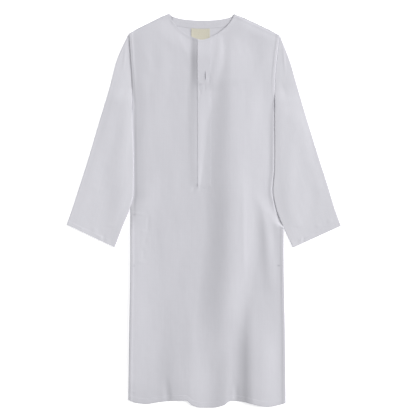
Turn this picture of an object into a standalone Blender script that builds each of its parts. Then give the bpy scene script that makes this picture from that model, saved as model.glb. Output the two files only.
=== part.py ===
"""A mid-calf thobe, laid flat on its back with the front panel up.

Frame: metres, Z up. The robe lies on the plane Z = 0 with its neck toward +Y, and
+X is the wearer's left. The origin is under the middle of its bounding box.
Every cloth piece is an open sheet of points given a wall with Solidify.
"""
import math
from collections import namedtuple

import bpy
import bmesh
import numpy as np

# Cloth and sewing
CLOTH = 0.0012
SEAM_GAP = 0.0003
LAYER = CLOTH + SEAM_GAP
ARMHOLE_GAP = 0.0007

# Body, shoulder tips and neck
HEM_LEVEL = -0.5890
RIGHT_TIP = (-0.2331, 0.5503)
LEFT_TIP = (0.2365, 0.5444)
RIGHT_NECK = (-0.1076, 0.6129)
LEFT_NECK = (0.0942, 0.6113)
SHOULDER_BOW = 0.0012
FRONT_NECK_DROP = 0.0823
FRONT_NECK_POWER = 1.5
BACK_NECK_DROP = 0.0215
BACK_NECK_POWER = 2.0

# Front opening: the slot in the panel and the two plackets that close it
SLOT_RIGHT = -0.0110
SLOT_LEFT = 0.0120
SLOT_END = 0.0850
PLACKET_FREE_EDGE = -0.0202
PLACKET_STITCHED_EDGE = 0.0225
PLACKET_END = 0.0700
PLACKET_GAPE = 0.0010
PLACKET_GAPE_RUN = 0.30
UNDER_PLACKET_EDGE = -0.0300
UNDER_PLACKET_REACH = 0.0085
UNDER_PLACKET_SAG = 0.0014
BUTTON_RADIUS = 0.0055
BUTTON_THICK = 0.0016
BUTTON_RIM = 0.0010
BUTTON_EDGE = 0.0004
BUTTON_TURNS = 24
BUTTON_X = 0.0010
BUTTON_Y = 0.4190

# Neck facing and label
FACING_WIDTH = 0.0250
FACING_END = 0.90
LABEL_SIZE = (0.0580, 0.0420)
LABEL_MIDDLE_X = -0.0105
LABEL_THICK = 0.0010

# Pocket bags, flat between the front and the back
POCKET_HEIGHT = 0.1550
POCKET_WIDTH = 0.0420
POCKET_TOP = -0.0280
POCKET_INSET = 0.0240
POCKET_CORNER = 0.0120

# Where the front's level passes from the right side's to the left's, how far in from each
# side it has risen, and the run over which it rises from the shoulders
LEVEL_FROM_X = 0.0000
LEVEL_TO_X = 0.1200
RISE_WIDTH = 0.0140
SHOULDER_RUN = 0.035

# Sleeves: a flattened tube with an air gap, which climbs onto the body's side strip
SLEEVE_AIR = 0.0012
SLEEVE_SWELL = 0.0024
SLEEVE_SWELL_RUN = 0.12
SLEEVE_SWELL_POWER = 0.7
SLEEVE_LIFT = 2 * LAYER
SLEEVE_CLEAR = 0.0090
SLEEVE_RAMP = 0.0240
LIFT_FROM_Y = 0.3850
LIFT_FULL_Y = 0.3350

# The body's outline. "flat" is where the front leaves the back: a seam allowance in from
# the edge, or the inner edge of the sleeve where that lies on the body.
Section = namedtuple("Section", "y right_edge right_flat left_flat left_edge")
BODY_SECTIONS = (
    Section(0.5503, -0.2331, -0.2231, 0.2265, 0.2365),
    Section(0.4824, -0.2286, -0.2186, 0.2176, 0.2276),
    Section(0.3894, -0.2229, -0.2129, 0.2104, 0.2204),
    Section(0.3274, -0.2229, -0.2129, 0.2104, 0.2204),
    Section(0.2700, -0.2285, -0.2150, 0.2130, 0.2485),
    Section(0.0949, -0.2291, -0.2125, 0.2115, 0.2485),
    Section(0.0400, -0.2291, -0.2140, 0.2115, 0.2485),
    Section(-0.0167, -0.2291, -0.2191, 0.2290, 0.2485),
    Section(-0.0539, -0.2291, -0.2191, 0.2385, 0.2485),
    Section(-0.1221, -0.2288, -0.2188, 0.2386, 0.2486),
    Section(-0.4197, -0.2328, -0.2228, 0.2430, 0.2530),
    Section(-0.6150, -0.2353, -0.2253, 0.2448, 0.2548),
)

# The front's hem hangs in three lobes
HemPoint = namedtuple("HemPoint", "x y")
FRONT_HEM = (
    HemPoint(-0.2353, -0.5870),
    HemPoint(-0.2151, -0.5960),
    HemPoint(-0.1779, -0.6008),
    HemPoint(-0.1407, -0.5952),
    HemPoint(-0.0849, -0.5899),
    HemPoint(-0.0555, -0.5899),
    HemPoint(-0.0384, -0.6036),
    HemPoint(-0.0105, -0.6119),
    HemPoint(0.0267, -0.6125),
    HemPoint(0.0639, -0.6039),
    HemPoint(0.0825, -0.5912),
    HemPoint(0.1104, -0.5924),
    HemPoint(0.1987, -0.6088),
    HemPoint(0.2406, -0.6020),
    HemPoint(0.2548, -0.5971),
)
HEM_RUN = 0.16
NECK_RUN_FROM = 0.245

# Height of the front above its seams on the wearer's right and left, from the hem up, and
# the run over which it rises from the sides
Swell = namedtuple("Swell", "y right left run")
FRONT_SWELL = (
    Swell(-0.6200, 0.0015, 0.0024, 0.014),
    Swell(-0.4500, 0.0020, 0.0034, 0.014),
    Swell(-0.0800, 0.0020, 0.0036, 0.014),
    Swell(0.0700, 0.0034, 0.0036, 0.060),
    Swell(0.4000, 0.0036, 0.0034, 0.070),
    Swell(0.6200, 0.0032, 0.0030, 0.050),
)

# A fold is a ridge along a path from its upper end to its lower one. "right" and "left"
# are its width to either side, and its slope is steepest half way down.
At = namedtuple("At", "y x rise right left")
Fold = namedtuple("Fold", "name path")
FRONT_FOLDS = (
    Fold("long fold", (
        At(0.5500, 0.0856, 0.0000, 0.030, 0.050),
        At(0.4670, 0.0887, 0.0012, 0.036, 0.080),
        At(0.3740, 0.0856, 0.0044, 0.064, 0.100),
        At(0.2810, 0.0840, 0.0058, 0.075, 0.110),
        At(0.1414, 0.0825, 0.0070, 0.082, 0.110),
        At(0.0019, 0.0865, 0.0082, 0.086, 0.100),
        At(-0.0911, 0.0840, 0.0082, 0.086, 0.094),
        At(-0.2306, 0.0716, 0.0078, 0.088, 0.086),
        At(-0.3236, 0.0577, 0.0062, 0.085, 0.080),
        At(-0.4166, 0.0437, 0.0028, 0.075, 0.070),
        At(-0.5003, 0.0344, 0.0000, 0.070, 0.070),
    )),
    Fold("placket fold", (
        At(0.5500, -0.0202, 0.0018, 0.028, 0.180),
        At(0.4670, -0.0202, 0.0044, 0.030, 0.200),
        At(0.4110, -0.0202, 0.0036, 0.032, 0.180),
        At(0.3660, -0.0202, 0.0022, 0.036, 0.080),
        At(0.2810, -0.0200, 0.0018, 0.036, 0.036),
        At(0.1880, -0.0198, 0.0017, 0.034, 0.026),
        At(0.1000, -0.0198, 0.0014, 0.030, 0.015),
        At(0.0620, -0.0205, 0.0000, 0.020, 0.010),
    )),
    Fold("lower left fold", (
        At(-0.2709, 0.1538, 0.0000, 0.050, 0.070),
        At(-0.3236, 0.1530, 0.0014, 0.054, 0.076),
        At(-0.3701, 0.1525, 0.0034, 0.056, 0.080),
        At(-0.4166, 0.1522, 0.0060, 0.056, 0.084),
        At(-0.4631, 0.1522, 0.0074, 0.056, 0.084),
        At(-0.6300, 0.1530, 0.0084, 0.056, 0.084),
    )),
    Fold("lower right fold", (
        At(-0.2461, -0.0340, 0.0000, 0.090, 0.070),
        At(-0.3236, -0.0370, 0.0016, 0.100, 0.075),
        At(-0.4166, -0.0420, 0.0034, 0.105, 0.080),
        At(-0.5096, -0.0550, 0.0044, 0.105, 0.080),
        At(-0.6300, -0.0620, 0.0050, 0.105, 0.085),
    )),
    Fold("left pocket fold", (
        At(0.0639, 0.1615, 0.0000, 0.024, 0.026),
        At(-0.0105, 0.1832, 0.0012, 0.030, 0.028),
        At(-0.0508, 0.1910, 0.0016, 0.034, 0.030),
        At(-0.1283, 0.1987, 0.0017, 0.034, 0.030),
        At(-0.2151, 0.2034, 0.0008, 0.030, 0.026),
        At(-0.2616, 0.2050, 0.0000, 0.026, 0.024),
    )),
    Fold("right pocket ridge", (
        At(0.0850, -0.1800, 0.0000, 0.150, 0.044),
        At(0.0200, -0.1810, 0.0014, 0.150, 0.046),
        At(-0.2300, -0.1800, 0.0018, 0.150, 0.048),
        At(-0.4000, -0.1790, 0.0014, 0.150, 0.050),
        At(-0.6300, -0.1780, 0.0008, 0.150, 0.050),
    )),
)

# Sleeve sections from the armhole to the cuff, each from its outer fold to its inner one
Ring = namedtuple("Ring", "outer_x outer_y inner_x inner_y")
RIGHT_SLEEVE = (
    Ring(-0.2335, 0.5490, -0.2232, 0.2995),
    Ring(-0.2712, 0.4653, -0.2220, 0.2561),
    Ring(-0.2942, 0.3785, -0.2198, 0.2127),
    Ring(-0.3280, 0.2669, -0.2185, 0.1321),
    Ring(-0.3611, 0.1553, -0.2189, 0.0639),
    Ring(-0.3850, 0.0809, -0.2285, 0.0112),
    Ring(-0.4092, 0.0065, -0.2554, -0.0580),
    Ring(-0.4266, -0.0437, -0.2768, -0.1147),
)
LEFT_SLEEVE = (
    Ring(0.2369, 0.5430, 0.2213, 0.3026),
    Ring(0.2669, 0.4653, 0.2204, 0.2561),
    Ring(0.2923, 0.3785, 0.2204, 0.2127),
    Ring(0.3255, 0.2669, 0.2198, 0.1321),
    Ring(0.3602, 0.1553, 0.2148, 0.0639),
    Ring(0.3841, 0.0809, 0.2232, 0.0112),
    Ring(0.4067, 0.0065, 0.2489, -0.0570),
    Ring(0.4262, -0.0471, 0.2759, -0.1153),
)
ARMHOLE_FADE = 0.22
ARMHOLE_FADE_POWER = 1.5
FOLD_STAND_OFF = 0.0012

# The front's columns between its anchors: edge, flat line, risen, neck point, under
# placket, free edge, slot, slot, stitched edge, neck point, risen, flat line, edge
FRONT_COLUMNS = (1, 2, 8, 7, 1, 1, 1, 1, 7, 10, 2, 2)
UNDER_PLACKET_ANCHOR = 4
FREE_EDGE_ANCHOR = 5
SLOT_RIGHT_ANCHOR = 6
SLOT_LEFT_ANCHOR = 7
STITCHED_EDGE_ANCHOR = 8
BACK_COLUMNS = (4, 8, 4)

# Mesh density
BODY_ROWS_BELOW = 26
BODY_ROWS_ABOVE = 19
BACK_ROWS = 22
SLEEVE_ROWS = 18
SLEEVE_ACROSS = 10
FOLD_ARC_STEPS = 4


def smooth(stations, values, at):
    """A monotone cubic through the values at rising stations."""
    stations = np.asarray(stations, float)
    values = np.asarray(values, float)
    step = np.diff(stations)
    rise = np.diff(values) / step
    slope = np.zeros(len(stations))
    slope[0], slope[-1] = rise[0], rise[-1]
    for i in range(1, len(rise)):
        if rise[i - 1] * rise[i] > 0:
            slope[i] = 2 * rise[i - 1] * rise[i] / (rise[i - 1] + rise[i])
    at = np.clip(np.asarray(at, float), stations[0], stations[-1])
    k = np.clip(np.searchsorted(stations, at) - 1, 0, len(step) - 1)
    t = (at - stations[k]) / step[k]
    start = (2 * t**3 - 3 * t**2 + 1) * values[k] + (t**3 - 2 * t**2 + t) * step[k] * slope[k]
    end = (3 * t**2 - 2 * t**3) * values[k + 1] + (t**3 - t**2) * step[k] * slope[k + 1]
    return start + end


def column(rows, name):
    return [getattr(row, name) for row in rows]


def body_line(name, y):
    """X of one of the body's outlines at a level."""
    rows = BODY_SECTIONS[::-1]
    return smooth(column(rows, "y"), column(rows, name), y)


def ease_in(t):
    """0 to 1, quick at first."""
    t = np.clip(t, 0.0, 1.0)
    return 1.0 - (1.0 - t) ** 2


def ease(t):
    """0 to 1, soft at both ends."""
    t = np.clip(t, 0.0, 1.0)
    return t * t * (3.0 - 2.0 * t)


def front_hem(x):
    return smooth(column(FRONT_HEM, "x"), column(FRONT_HEM, "y"), x)


def neck_curve(x, drop, power):
    """Y of a neckline between the two neck points."""
    middle = 0.5 * (RIGHT_NECK[0] + LEFT_NECK[0])
    half = 0.5 * (LEFT_NECK[0] - RIGHT_NECK[0])
    off = np.clip(np.abs(x - middle) / half, 0.0, 1.0)
    level = np.interp(x, (RIGHT_NECK[0], LEFT_NECK[0]), (RIGHT_NECK[1], LEFT_NECK[1]))
    return level - drop * (1.0 - off**power) ** (1.0 / power)


def shoulder_seam(x, start, end):
    """Y of a shoulder seam, bowed up a little at its middle."""
    t = (x - start[0]) / (end[0] - start[0])
    bow = SHOULDER_BOW * 4 * np.clip(t, 0, 1) * (1 - np.clip(t, 0, 1))
    return start[1] + (end[1] - start[1]) * t + bow


def top_edge(x, drop, power):
    """Y of a panel's top: shoulder seam, neckline, shoulder seam."""
    right = shoulder_seam(x, RIGHT_TIP, RIGHT_NECK)
    left = shoulder_seam(x, LEFT_NECK, LEFT_TIP)
    neck = neck_curve(x, drop, power)
    return np.where(x < RIGHT_NECK[0], right, np.where(x > LEFT_NECK[0], left, neck))


def distance_to_seam(x, y, start, end):
    """Distance to a shoulder seam, in plan."""
    run = np.array(end) - np.array(start)
    t = np.clip(((x - start[0]) * run[0] + (y - start[1]) * run[1]) / run.dot(run), 0.0, 1.0)
    return np.hypot(x - start[0] - t * run[0], y - start[1] - t * run[1])


def fold_rise(fold, x, y):
    """Height that one fold adds at a place in plan."""
    rows = fold.path[::-1]
    levels = column(rows, "y")
    off = x - smooth(levels, column(rows, "x"), y)
    right = smooth(levels, column(rows, "right"), y)
    left = smooth(levels, column(rows, "left"), y)
    width = np.where(off < 0, right, left)
    across = 0.5 * (1 + np.cos(math.pi * np.clip(np.abs(off) / width, 0.0, 1.0)))
    inside = (y >= levels[0]) & (y <= levels[-1])
    return np.where(inside, smooth(levels, column(rows, "rise"), y) * across, 0.0)


def front_height(x, y):
    """Height of the front panel's underside."""
    levels = column(FRONT_SWELL, "y")
    right = smooth(levels, column(FRONT_SWELL, "right"), y)
    left = smooth(levels, column(FRONT_SWELL, "left"), y)
    run = smooth(levels, column(FRONT_SWELL, "run"), y)
    swell = right + (left - right) * ease((x - LEVEL_FROM_X) / (LEVEL_TO_X - LEVEL_FROM_X))
    across = np.minimum(x - body_line("right_flat", y), body_line("left_flat", y) - x)
    held = ease_in(across / run)
    held = held * ease_in(distance_to_seam(x, y, RIGHT_TIP, RIGHT_NECK) / SHOULDER_RUN)
    held = held * ease_in(distance_to_seam(x, y, LEFT_NECK, LEFT_TIP) / SHOULDER_RUN)
    rise = sum(fold_rise(fold, x, y) for fold in FRONT_FOLDS)
    return LAYER + (swell + rise) * held


def spread(anchors, counts):
    """Stations between anchors, each stretch split evenly."""
    stations = [anchors[0]]
    for start, end, count in zip(anchors[:-1], anchors[1:], counts):
        stations += [start + (end - start) * (i + 1) / count for i in range(count)]
    return stations


def panel_points(levels, anchors_at, counts, hem, top, hem_run, top_from):
    """Plan of a body panel: rows rising from the hem to the shoulders.

    A row is level over most of the length. It follows the hem's line near the hem, and
    the top edge's near the shoulders.
    """
    low = levels[0]
    high = levels[-1]
    hem_offset = hem(np.array(spread(anchors_at(low, low), counts))) - low
    top_offset = top(np.array(spread(anchors_at(RIGHT_TIP[1], LEFT_TIP[1]), counts))) - high
    rows = []
    for level in levels:
        near_hem = 1.0 - ease((level - low) / hem_run)
        near_top = ease((level - top_from) / (high - top_from))
        y = level + hem_offset * near_hem + top_offset * near_top
        x = np.array(spread(anchors_at(y[0], y[-1]), counts))
        rows.append(np.column_stack([x, y]))
    return np.array(rows)


def front_levels():
    below = np.linspace(HEM_LEVEL, PLACKET_END, BODY_ROWS_BELOW)
    above = np.linspace(SLOT_END, LEFT_TIP[1], BODY_ROWS_ABOVE)
    return list(below) + list(above)


def front_anchors(right_y, left_y):
    """Where the front's columns stand in a row, from its level at either edge."""
    return (
        float(body_line("right_edge", right_y)),
        float(body_line("right_flat", right_y)),
        float(body_line("right_flat", right_y)) + RISE_WIDTH,
        RIGHT_NECK[0],
        UNDER_PLACKET_EDGE,
        PLACKET_FREE_EDGE,
        SLOT_RIGHT,
        SLOT_LEFT,
        PLACKET_STITCHED_EDGE,
        LEFT_NECK[0],
        float(body_line("left_flat", left_y)) - RISE_WIDTH,
        float(body_line("left_flat", left_y)),
        float(body_line("left_edge", left_y)),
    )


def front_grid():
    """Plan and underside of the front panel, row by row."""
    plan = panel_points(
        front_levels(),
        front_anchors,
        FRONT_COLUMNS,
        front_hem,
        lambda x: top_edge(x, FRONT_NECK_DROP, FRONT_NECK_POWER),
        HEM_RUN,
        NECK_RUN_FROM,
    )
    height = front_height(plan[..., 0], plan[..., 1])
    return np.dstack([plan, height])


def grid_column(anchor):
    """Index of the front's grid column that stands on one of its anchors."""
    return sum(FRONT_COLUMNS[:anchor])


def grid_normals(points):
    """Unit normals of a grid of points, upward."""
    across = np.gradient(points, axis=1)
    along = np.gradient(points, axis=0)
    normal = np.cross(across, along)
    return normal / np.linalg.norm(normal, axis=2, keepdims=True)


def sheet_object(name, points, keep, material, wall, closed=False, offset=1.0):
    """A named sheet from a grid of points, given its wall.

    keep(row, column) says which cells are cloth; closed joins the last column to the first.
    """
    rows, columns = points.shape[:2]
    mesh = bpy.data.meshes.new(name)
    shape = bmesh.new()
    corners = [[shape.verts.new(points[r, c]) for c in range(columns)] for r in range(rows)]
    for r in range(rows - 1):
        for c in range(columns if closed else columns - 1):
            if keep(r, c):
                after = (c + 1) % columns
                shape.faces.new(
                    (corners[r][c], corners[r][after], corners[r + 1][after], corners[r + 1][c])
                )
    loose = [vert for vert in shape.verts if not vert.link_faces]
    bmesh.ops.delete(shape, geom=loose, context="VERTS")
    shape.to_mesh(mesh)
    shape.free()
    mesh.materials.append(material)
    mesh.shade_smooth()
    piece = bpy.data.objects.new(name, mesh)
    ROBE.objects.link(piece)
    solidify = piece.modifiers.new("wall", "SOLIDIFY")
    solidify.thickness = wall
    solidify.offset = offset
    solidify.use_even_offset = False
    return piece


def always(row, col):
    return True


def material(name, colour, roughness):
    made = bpy.data.materials.new(name)
    made.use_nodes = True
    shader = made.node_tree.nodes["Principled BSDF"]
    shader.inputs["Base Color"].default_value = (*colour, 1.0)
    shader.inputs["Roughness"].default_value = roughness
    shader.inputs["Metallic"].default_value = 0.0
    return made


def make_back_panel():
    """One flat panel from hem to shoulders, with the back's shallow neckline."""
    def anchors(right_y, left_y):
        return (
            float(body_line("right_edge", right_y)),
            RIGHT_NECK[0],
            LEFT_NECK[0],
            float(body_line("left_edge", left_y)),
        )

    plan = panel_points(
        list(np.linspace(HEM_LEVEL, LEFT_TIP[1], BACK_ROWS)),
        anchors,
        BACK_COLUMNS,
        lambda x: np.full_like(x, HEM_LEVEL),
        lambda x: top_edge(x, BACK_NECK_DROP, BACK_NECK_POWER),
        HEM_RUN,
        NECK_RUN_FROM,
    )
    points = np.dstack([plan, np.zeros(plan.shape[:2])])
    sheet_object("back_panel", points, always, material("back cloth", (0.80, 0.80, 0.83), 0.8), CLOTH)


def make_front_panel(grid):
    """The swollen front, cut through along its opening."""
    slot_row = BODY_ROWS_BELOW
    first = grid_column(SLOT_RIGHT_ANCHOR)
    last = grid_column(SLOT_LEFT_ANCHOR)

    def cloth(row, col):
        return row < slot_row or not first <= col < last

    sheet_object("front_panel", grid, cloth, material("front cloth", (0.82, 0.82, 0.85), 0.8), CLOTH)


def make_placket_over(grid):
    """Lies on the front from its free edge to its stitched edge, over the slot."""
    first = grid_column(FREE_EDGE_ANCHOR)
    last = grid_column(STITCHED_EDGE_ANCHOR)
    low = BODY_ROWS_BELOW - 1
    base = grid[low:, first : last + 1]
    normals = grid_normals(grid)[low:, first : last + 1]
    points = base + normals * LAYER
    across = (base[..., 0] - PLACKET_FREE_EDGE) / (SLOT_LEFT - PLACKET_FREE_EDGE)
    along = ease((base[..., 1] - PLACKET_END) / PLACKET_GAPE_RUN)
    points[..., 2] += PLACKET_GAPE * (1.0 - np.clip(across, 0.0, 1.0)) * along
    sheet_object("placket_over", points, always, material("over placket", (0.84, 0.84, 0.87), 0.8), CLOTH)


def make_placket_under(grid):
    """Hangs below the front from the slot's right edge, and reaches across the slot."""
    first = grid_column(UNDER_PLACKET_ANCHOR)
    last = grid_column(SLOT_LEFT_ANCHOR)
    low = BODY_ROWS_BELOW - 1
    base = grid[low:, first : last + 1].copy()
    slot = base[..., 0] > SLOT_RIGHT + SEAM_GAP
    base[..., 0] = np.where(slot, UNDER_PLACKET_REACH, base[..., 0])
    base[..., 2] -= LAYER + np.where(slot, UNDER_PLACKET_SAG, 0.0)
    sheet_object("placket_under", base, always, material("under placket", (0.78, 0.78, 0.81), 0.8), CLOTH)


def make_button():
    """A flat shirt button with a raised rim, turned about its own axis."""
    seat = float(front_height(np.array(BUTTON_X), np.array(BUTTON_Y)))
    dished = BUTTON_THICK - BUTTON_EDGE
    profile = (
        (0.0, dished),
        (BUTTON_RADIUS - BUTTON_RIM - BUTTON_EDGE, dished),
        (BUTTON_RADIUS - BUTTON_RIM, BUTTON_THICK),
        (BUTTON_RADIUS - BUTTON_EDGE, BUTTON_THICK),
        (BUTTON_RADIUS, dished),
        (BUTTON_RADIUS, BUTTON_EDGE),
        (BUTTON_RADIUS - BUTTON_EDGE, 0.0),
        (0.0, 0.0),
    )
    mesh = bpy.data.meshes.new("button")
    edges = [(i, i + 1) for i in range(len(profile) - 1)]
    mesh.from_pydata([(radius, 0.0, height) for radius, height in profile], edges, [])
    mesh.materials.append(material("button resin", (0.80, 0.80, 0.78), 0.3))
    button = bpy.data.objects.new("button", mesh)
    button.location = (BUTTON_X, BUTTON_Y, seat + SEAM_GAP - UNDER_PLACKET_SAG / 2)
    ROBE.objects.link(button)
    screw = button.modifiers.new("turn", "SCREW")
    screw.steps = BUTTON_TURNS
    screw.render_steps = BUTTON_TURNS
    screw.use_merge_vertices = True
    screw.merge_threshold = 0.00005


def make_neck_facing():
    """The band inside the back neck, on the back panel."""
    middle = 0.5 * (RIGHT_NECK[0] + LEFT_NECK[0])
    half = 0.5 * (LEFT_NECK[0] - RIGHT_NECK[0]) * FACING_END
    x = np.linspace(middle - half, middle + half, 13)
    top = neck_curve(x, BACK_NECK_DROP, BACK_NECK_POWER) - SEAM_GAP
    rows = [np.column_stack([x, top - FACING_WIDTH * t, np.full_like(x, LAYER)]) for t in (1.0, 0.5, 0.0)]
    cloth = material("neck facing", (0.84, 0.84, 0.87), 0.8)
    sheet_object("neck_facing", np.array(rows), always, cloth, CLOTH)


def make_neck_label():
    """A small bare label on the back panel, just under the facing."""
    wide, tall = LABEL_SIZE
    x = np.linspace(LABEL_MIDDLE_X - wide / 2, LABEL_MIDDLE_X + wide / 2, 7)
    facing = neck_curve(x, BACK_NECK_DROP, BACK_NECK_POWER) - SEAM_GAP - FACING_WIDTH
    top = facing - SEAM_GAP
    low = float(np.mean(top)) - tall
    rows = [np.column_stack([x, low + (top - low) * t, np.full_like(x, LAYER)]) for t in (0.0, 0.5, 1.0)]
    cloth = material("label", (0.62, 0.59, 0.48), 0.7)
    sheet_object("neck_label", np.array(rows), always, cloth, LABEL_THICK)


def make_pocket_bag(name, side, edge_name):
    """A pocket bag with rounded lower corners, flat on the back beside the side seam."""
    middle_y = POCKET_TOP - POCKET_HEIGHT / 2
    edge = float(body_line(edge_name, middle_y)) - side * POCKET_INSET
    levels = np.linspace(POCKET_TOP - POCKET_HEIGHT, POCKET_TOP, 9)
    rows = []
    for level in levels:
        above = (level - levels[0]) / POCKET_CORNER
        cut = POCKET_CORNER * (1 - math.sqrt(1 - (1 - min(above, 1.0)) ** 2))
        inner = edge - side * (POCKET_WIDTH - cut)
        x = np.linspace(min(edge, inner), max(edge, inner), 4)
        rows.append(np.column_stack([x, np.full_like(x, level), np.full_like(x, LAYER)]))
    cloth = material(name + " cloth", (0.76, 0.76, 0.79), 0.8)
    sheet_object(name, np.array(rows), always, cloth, CLOTH)


def sleeve_ring(rings, along):
    """The two folds of a sleeve's section, from 0 at the armhole to 1 at the cuff."""
    stations = np.linspace(0.0, 1.0, len(rings))
    outer = [float(smooth(stations, column(rings, name), along)) for name in ("outer_x", "outer_y")]
    inner = [float(smooth(stations, column(rings, name), along)) for name in ("inner_x", "inner_y")]
    return np.array(outer), np.array(inner)


def armhole_seam(y, edge_name, side):
    """X of the sleeve's end along the armhole, down to where the sleeve folds over the body."""
    return float(body_line(edge_name, max(y, LIFT_FULL_Y))) + side * ARMHOLE_GAP


def sleeve_lift(x, y, side):
    """How far a sleeve's underside is held up where it lies on the body's side strip."""
    edge = body_line("left_edge" if side > 0 else "right_edge", y)
    beyond = side * (x - edge)
    on_body = 1.0 - ease((beyond - SLEEVE_CLEAR) / SLEEVE_RAMP)
    below_armhole = 1.0 - ease((y - LIFT_FULL_Y) / (LIFT_FROM_Y - LIFT_FULL_Y))
    return SLEEVE_LIFT * on_body * below_armhole


def sleeve_section_shape():
    """Stations round a flattened tube: fraction across, inset in radii, height in radii, swell."""
    Station = namedtuple("Station", "across inset height swell")
    stations = []
    for i in range(FOLD_ARC_STEPS + 1):
        angle = -math.pi / 2 + math.pi * i / FOLD_ARC_STEPS
        stations.append(Station(0.0, 1 - math.cos(angle), 1 + math.sin(angle), 0.0))
    for i in range(1, SLEEVE_ACROSS):
        t = i / SLEEVE_ACROSS
        stations.append(Station(t, 1 - 2 * t, 2.0, math.sin(math.pi * t) ** SLEEVE_SWELL_POWER))
    for i in range(FOLD_ARC_STEPS + 1):
        angle = math.pi / 2 - math.pi * i / FOLD_ARC_STEPS
        stations.append(Station(1.0, math.cos(angle) - 1, 1 + math.sin(angle), 0.0))
    for i in range(1, SLEEVE_ACROSS):
        t = 1 - i / SLEEVE_ACROSS
        stations.append(Station(t, 1 - 2 * t, 0.0, 0.0))
    return stations


def make_sleeve(name, rings, side):
    """A flattened tube, its first ring against the armhole and its last ring the cuff."""
    edge_name = "left_edge" if side > 0 else "right_edge"
    radius = (2 * CLOTH + SLEEVE_AIR) / 2
    shape = sleeve_section_shape()
    points = []
    for along in np.linspace(0.0, 1.0, SLEEVE_ROWS):
        outer, inner = sleeve_ring(rings, along)
        width = float(np.linalg.norm(inner - outer))
        direction = (inner - outer) / width
        first_outer, first_inner = sleeve_ring(rings, 0.0)
        armhole = max(0.0, 1.0 - along / ARMHOLE_FADE)
        swell = SLEEVE_SWELL * float(ease_in(along / SLEEVE_SWELL_RUN))
        ring = []
        for place in shape:
            distance = place.across * width + place.inset * radius
            plan = outer + direction * distance
            t = min(max(distance / width, 0.0), 1.0)
            seam_y = first_outer[1] + (first_inner[1] - first_outer[1]) * t
            seam_x = armhole_seam(seam_y, edge_name, side)
            straight_x = first_outer[0] + (first_inner[0] - first_outer[0]) * t
            plan = plan + np.array([(seam_x - straight_x) * armhole**ARMHOLE_FADE_POWER, 0.0])
            if place.across == 0.0:
                plan[0] += side * FOLD_STAND_OFF * armhole
            height = place.height * radius + place.swell * swell
            height += float(sleeve_lift(plan[0], plan[1], side))
            ring.append((plan[0], plan[1], height))
        points.append(ring)
    cloth = material(name + " cloth", (0.85, 0.85, 0.88), 0.8)
    points = np.array(points)
    if side < 0:
        points = points[:, ::-1]
    sheet_object(name, points, always, cloth, CLOTH, closed=True, offset=-1.0)


for old in list(bpy.data.objects):
    bpy.data.objects.remove(old, do_unlink=True)
ROBE = bpy.data.collections.new("thobe_robe")
bpy.context.scene.collection.children.link(ROBE)

front = front_grid()
make_back_panel()
make_front_panel(front)
make_placket_over(front)
make_placket_under(front)
make_button()
make_neck_facing()
make_neck_label()
make_pocket_bag("pocket_bag_right", -1, "right_edge")
make_pocket_bag("pocket_bag_left", 1, "left_edge")
make_sleeve("sleeve_right", RIGHT_SLEEVE, -1)
make_sleeve("sleeve_left", LEFT_SLEEVE, 1)
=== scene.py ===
import math
from collections import namedtuple

import bpy
import numpy as np
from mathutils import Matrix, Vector


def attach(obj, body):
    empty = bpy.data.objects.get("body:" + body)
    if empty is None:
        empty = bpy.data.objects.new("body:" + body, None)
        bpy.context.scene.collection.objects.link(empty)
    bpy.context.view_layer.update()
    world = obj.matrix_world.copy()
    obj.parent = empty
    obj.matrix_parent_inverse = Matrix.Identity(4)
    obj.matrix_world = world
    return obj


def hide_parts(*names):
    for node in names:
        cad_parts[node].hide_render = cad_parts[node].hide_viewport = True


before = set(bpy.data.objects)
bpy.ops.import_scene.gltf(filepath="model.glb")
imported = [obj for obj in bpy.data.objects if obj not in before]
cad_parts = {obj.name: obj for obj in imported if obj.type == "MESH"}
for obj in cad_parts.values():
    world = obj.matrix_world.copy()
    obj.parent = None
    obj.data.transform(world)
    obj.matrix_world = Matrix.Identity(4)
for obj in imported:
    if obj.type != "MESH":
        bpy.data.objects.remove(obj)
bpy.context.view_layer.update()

# A mid-calf thobe, laid flat with its front up, in fine cloth with its sewing.
# Metres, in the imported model's frame: +X is the wearer's left, +Y the neck, and
# Z = 0 the surface that it lies on. "Right" and "left" are the wearer's.
BODY = "root"

# Cloth and sewing
CLOTH = 0.0012
SEAM_GAP = 0.0003
LAYER = CLOTH + SEAM_GAP
WALL = 0.0008
ARMHOLE_GAP = 0.0002
EDGE_ROLL = 0.0022
SIDE_TIGHTEN = 0.0012
EDGE_LOW = 0.0008
FREE_EDGE_ROLL = 0.0016
FREE_EDGE_DROP = 0.0004
STILL_RUN = 0.015
FINE_WALL = 0.0003
POCKET_WALL = 0.0010
THREAD = 0.00045
STITCH = 0.0027
STITCH_GAP = 0.0009
STITCH_WANDER = 0.00006
STITCH_PROUD = 0.00008
TACK_PROUD = 0.0003

# Body, shoulder tips and neck
HEM_LEVEL = -0.5890
RIGHT_TIP = (-0.2331, 0.5503)
LEFT_TIP = (0.2365, 0.5444)
RIGHT_NECK = (-0.1076, 0.6129)
LEFT_NECK = (0.0942, 0.6113)
SHOULDER_BOW = 0.0012
FRONT_NECK_DROP = 0.0823
FRONT_NECK_POWER = 1.5
BACK_NECK_DROP = 0.0215
BACK_NECK_POWER = 2.0
NECK_MIDDLE = 0.5 * (RIGHT_NECK[0] + LEFT_NECK[0])
NECK_HALF = 0.5 * (LEFT_NECK[0] - RIGHT_NECK[0])

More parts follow.
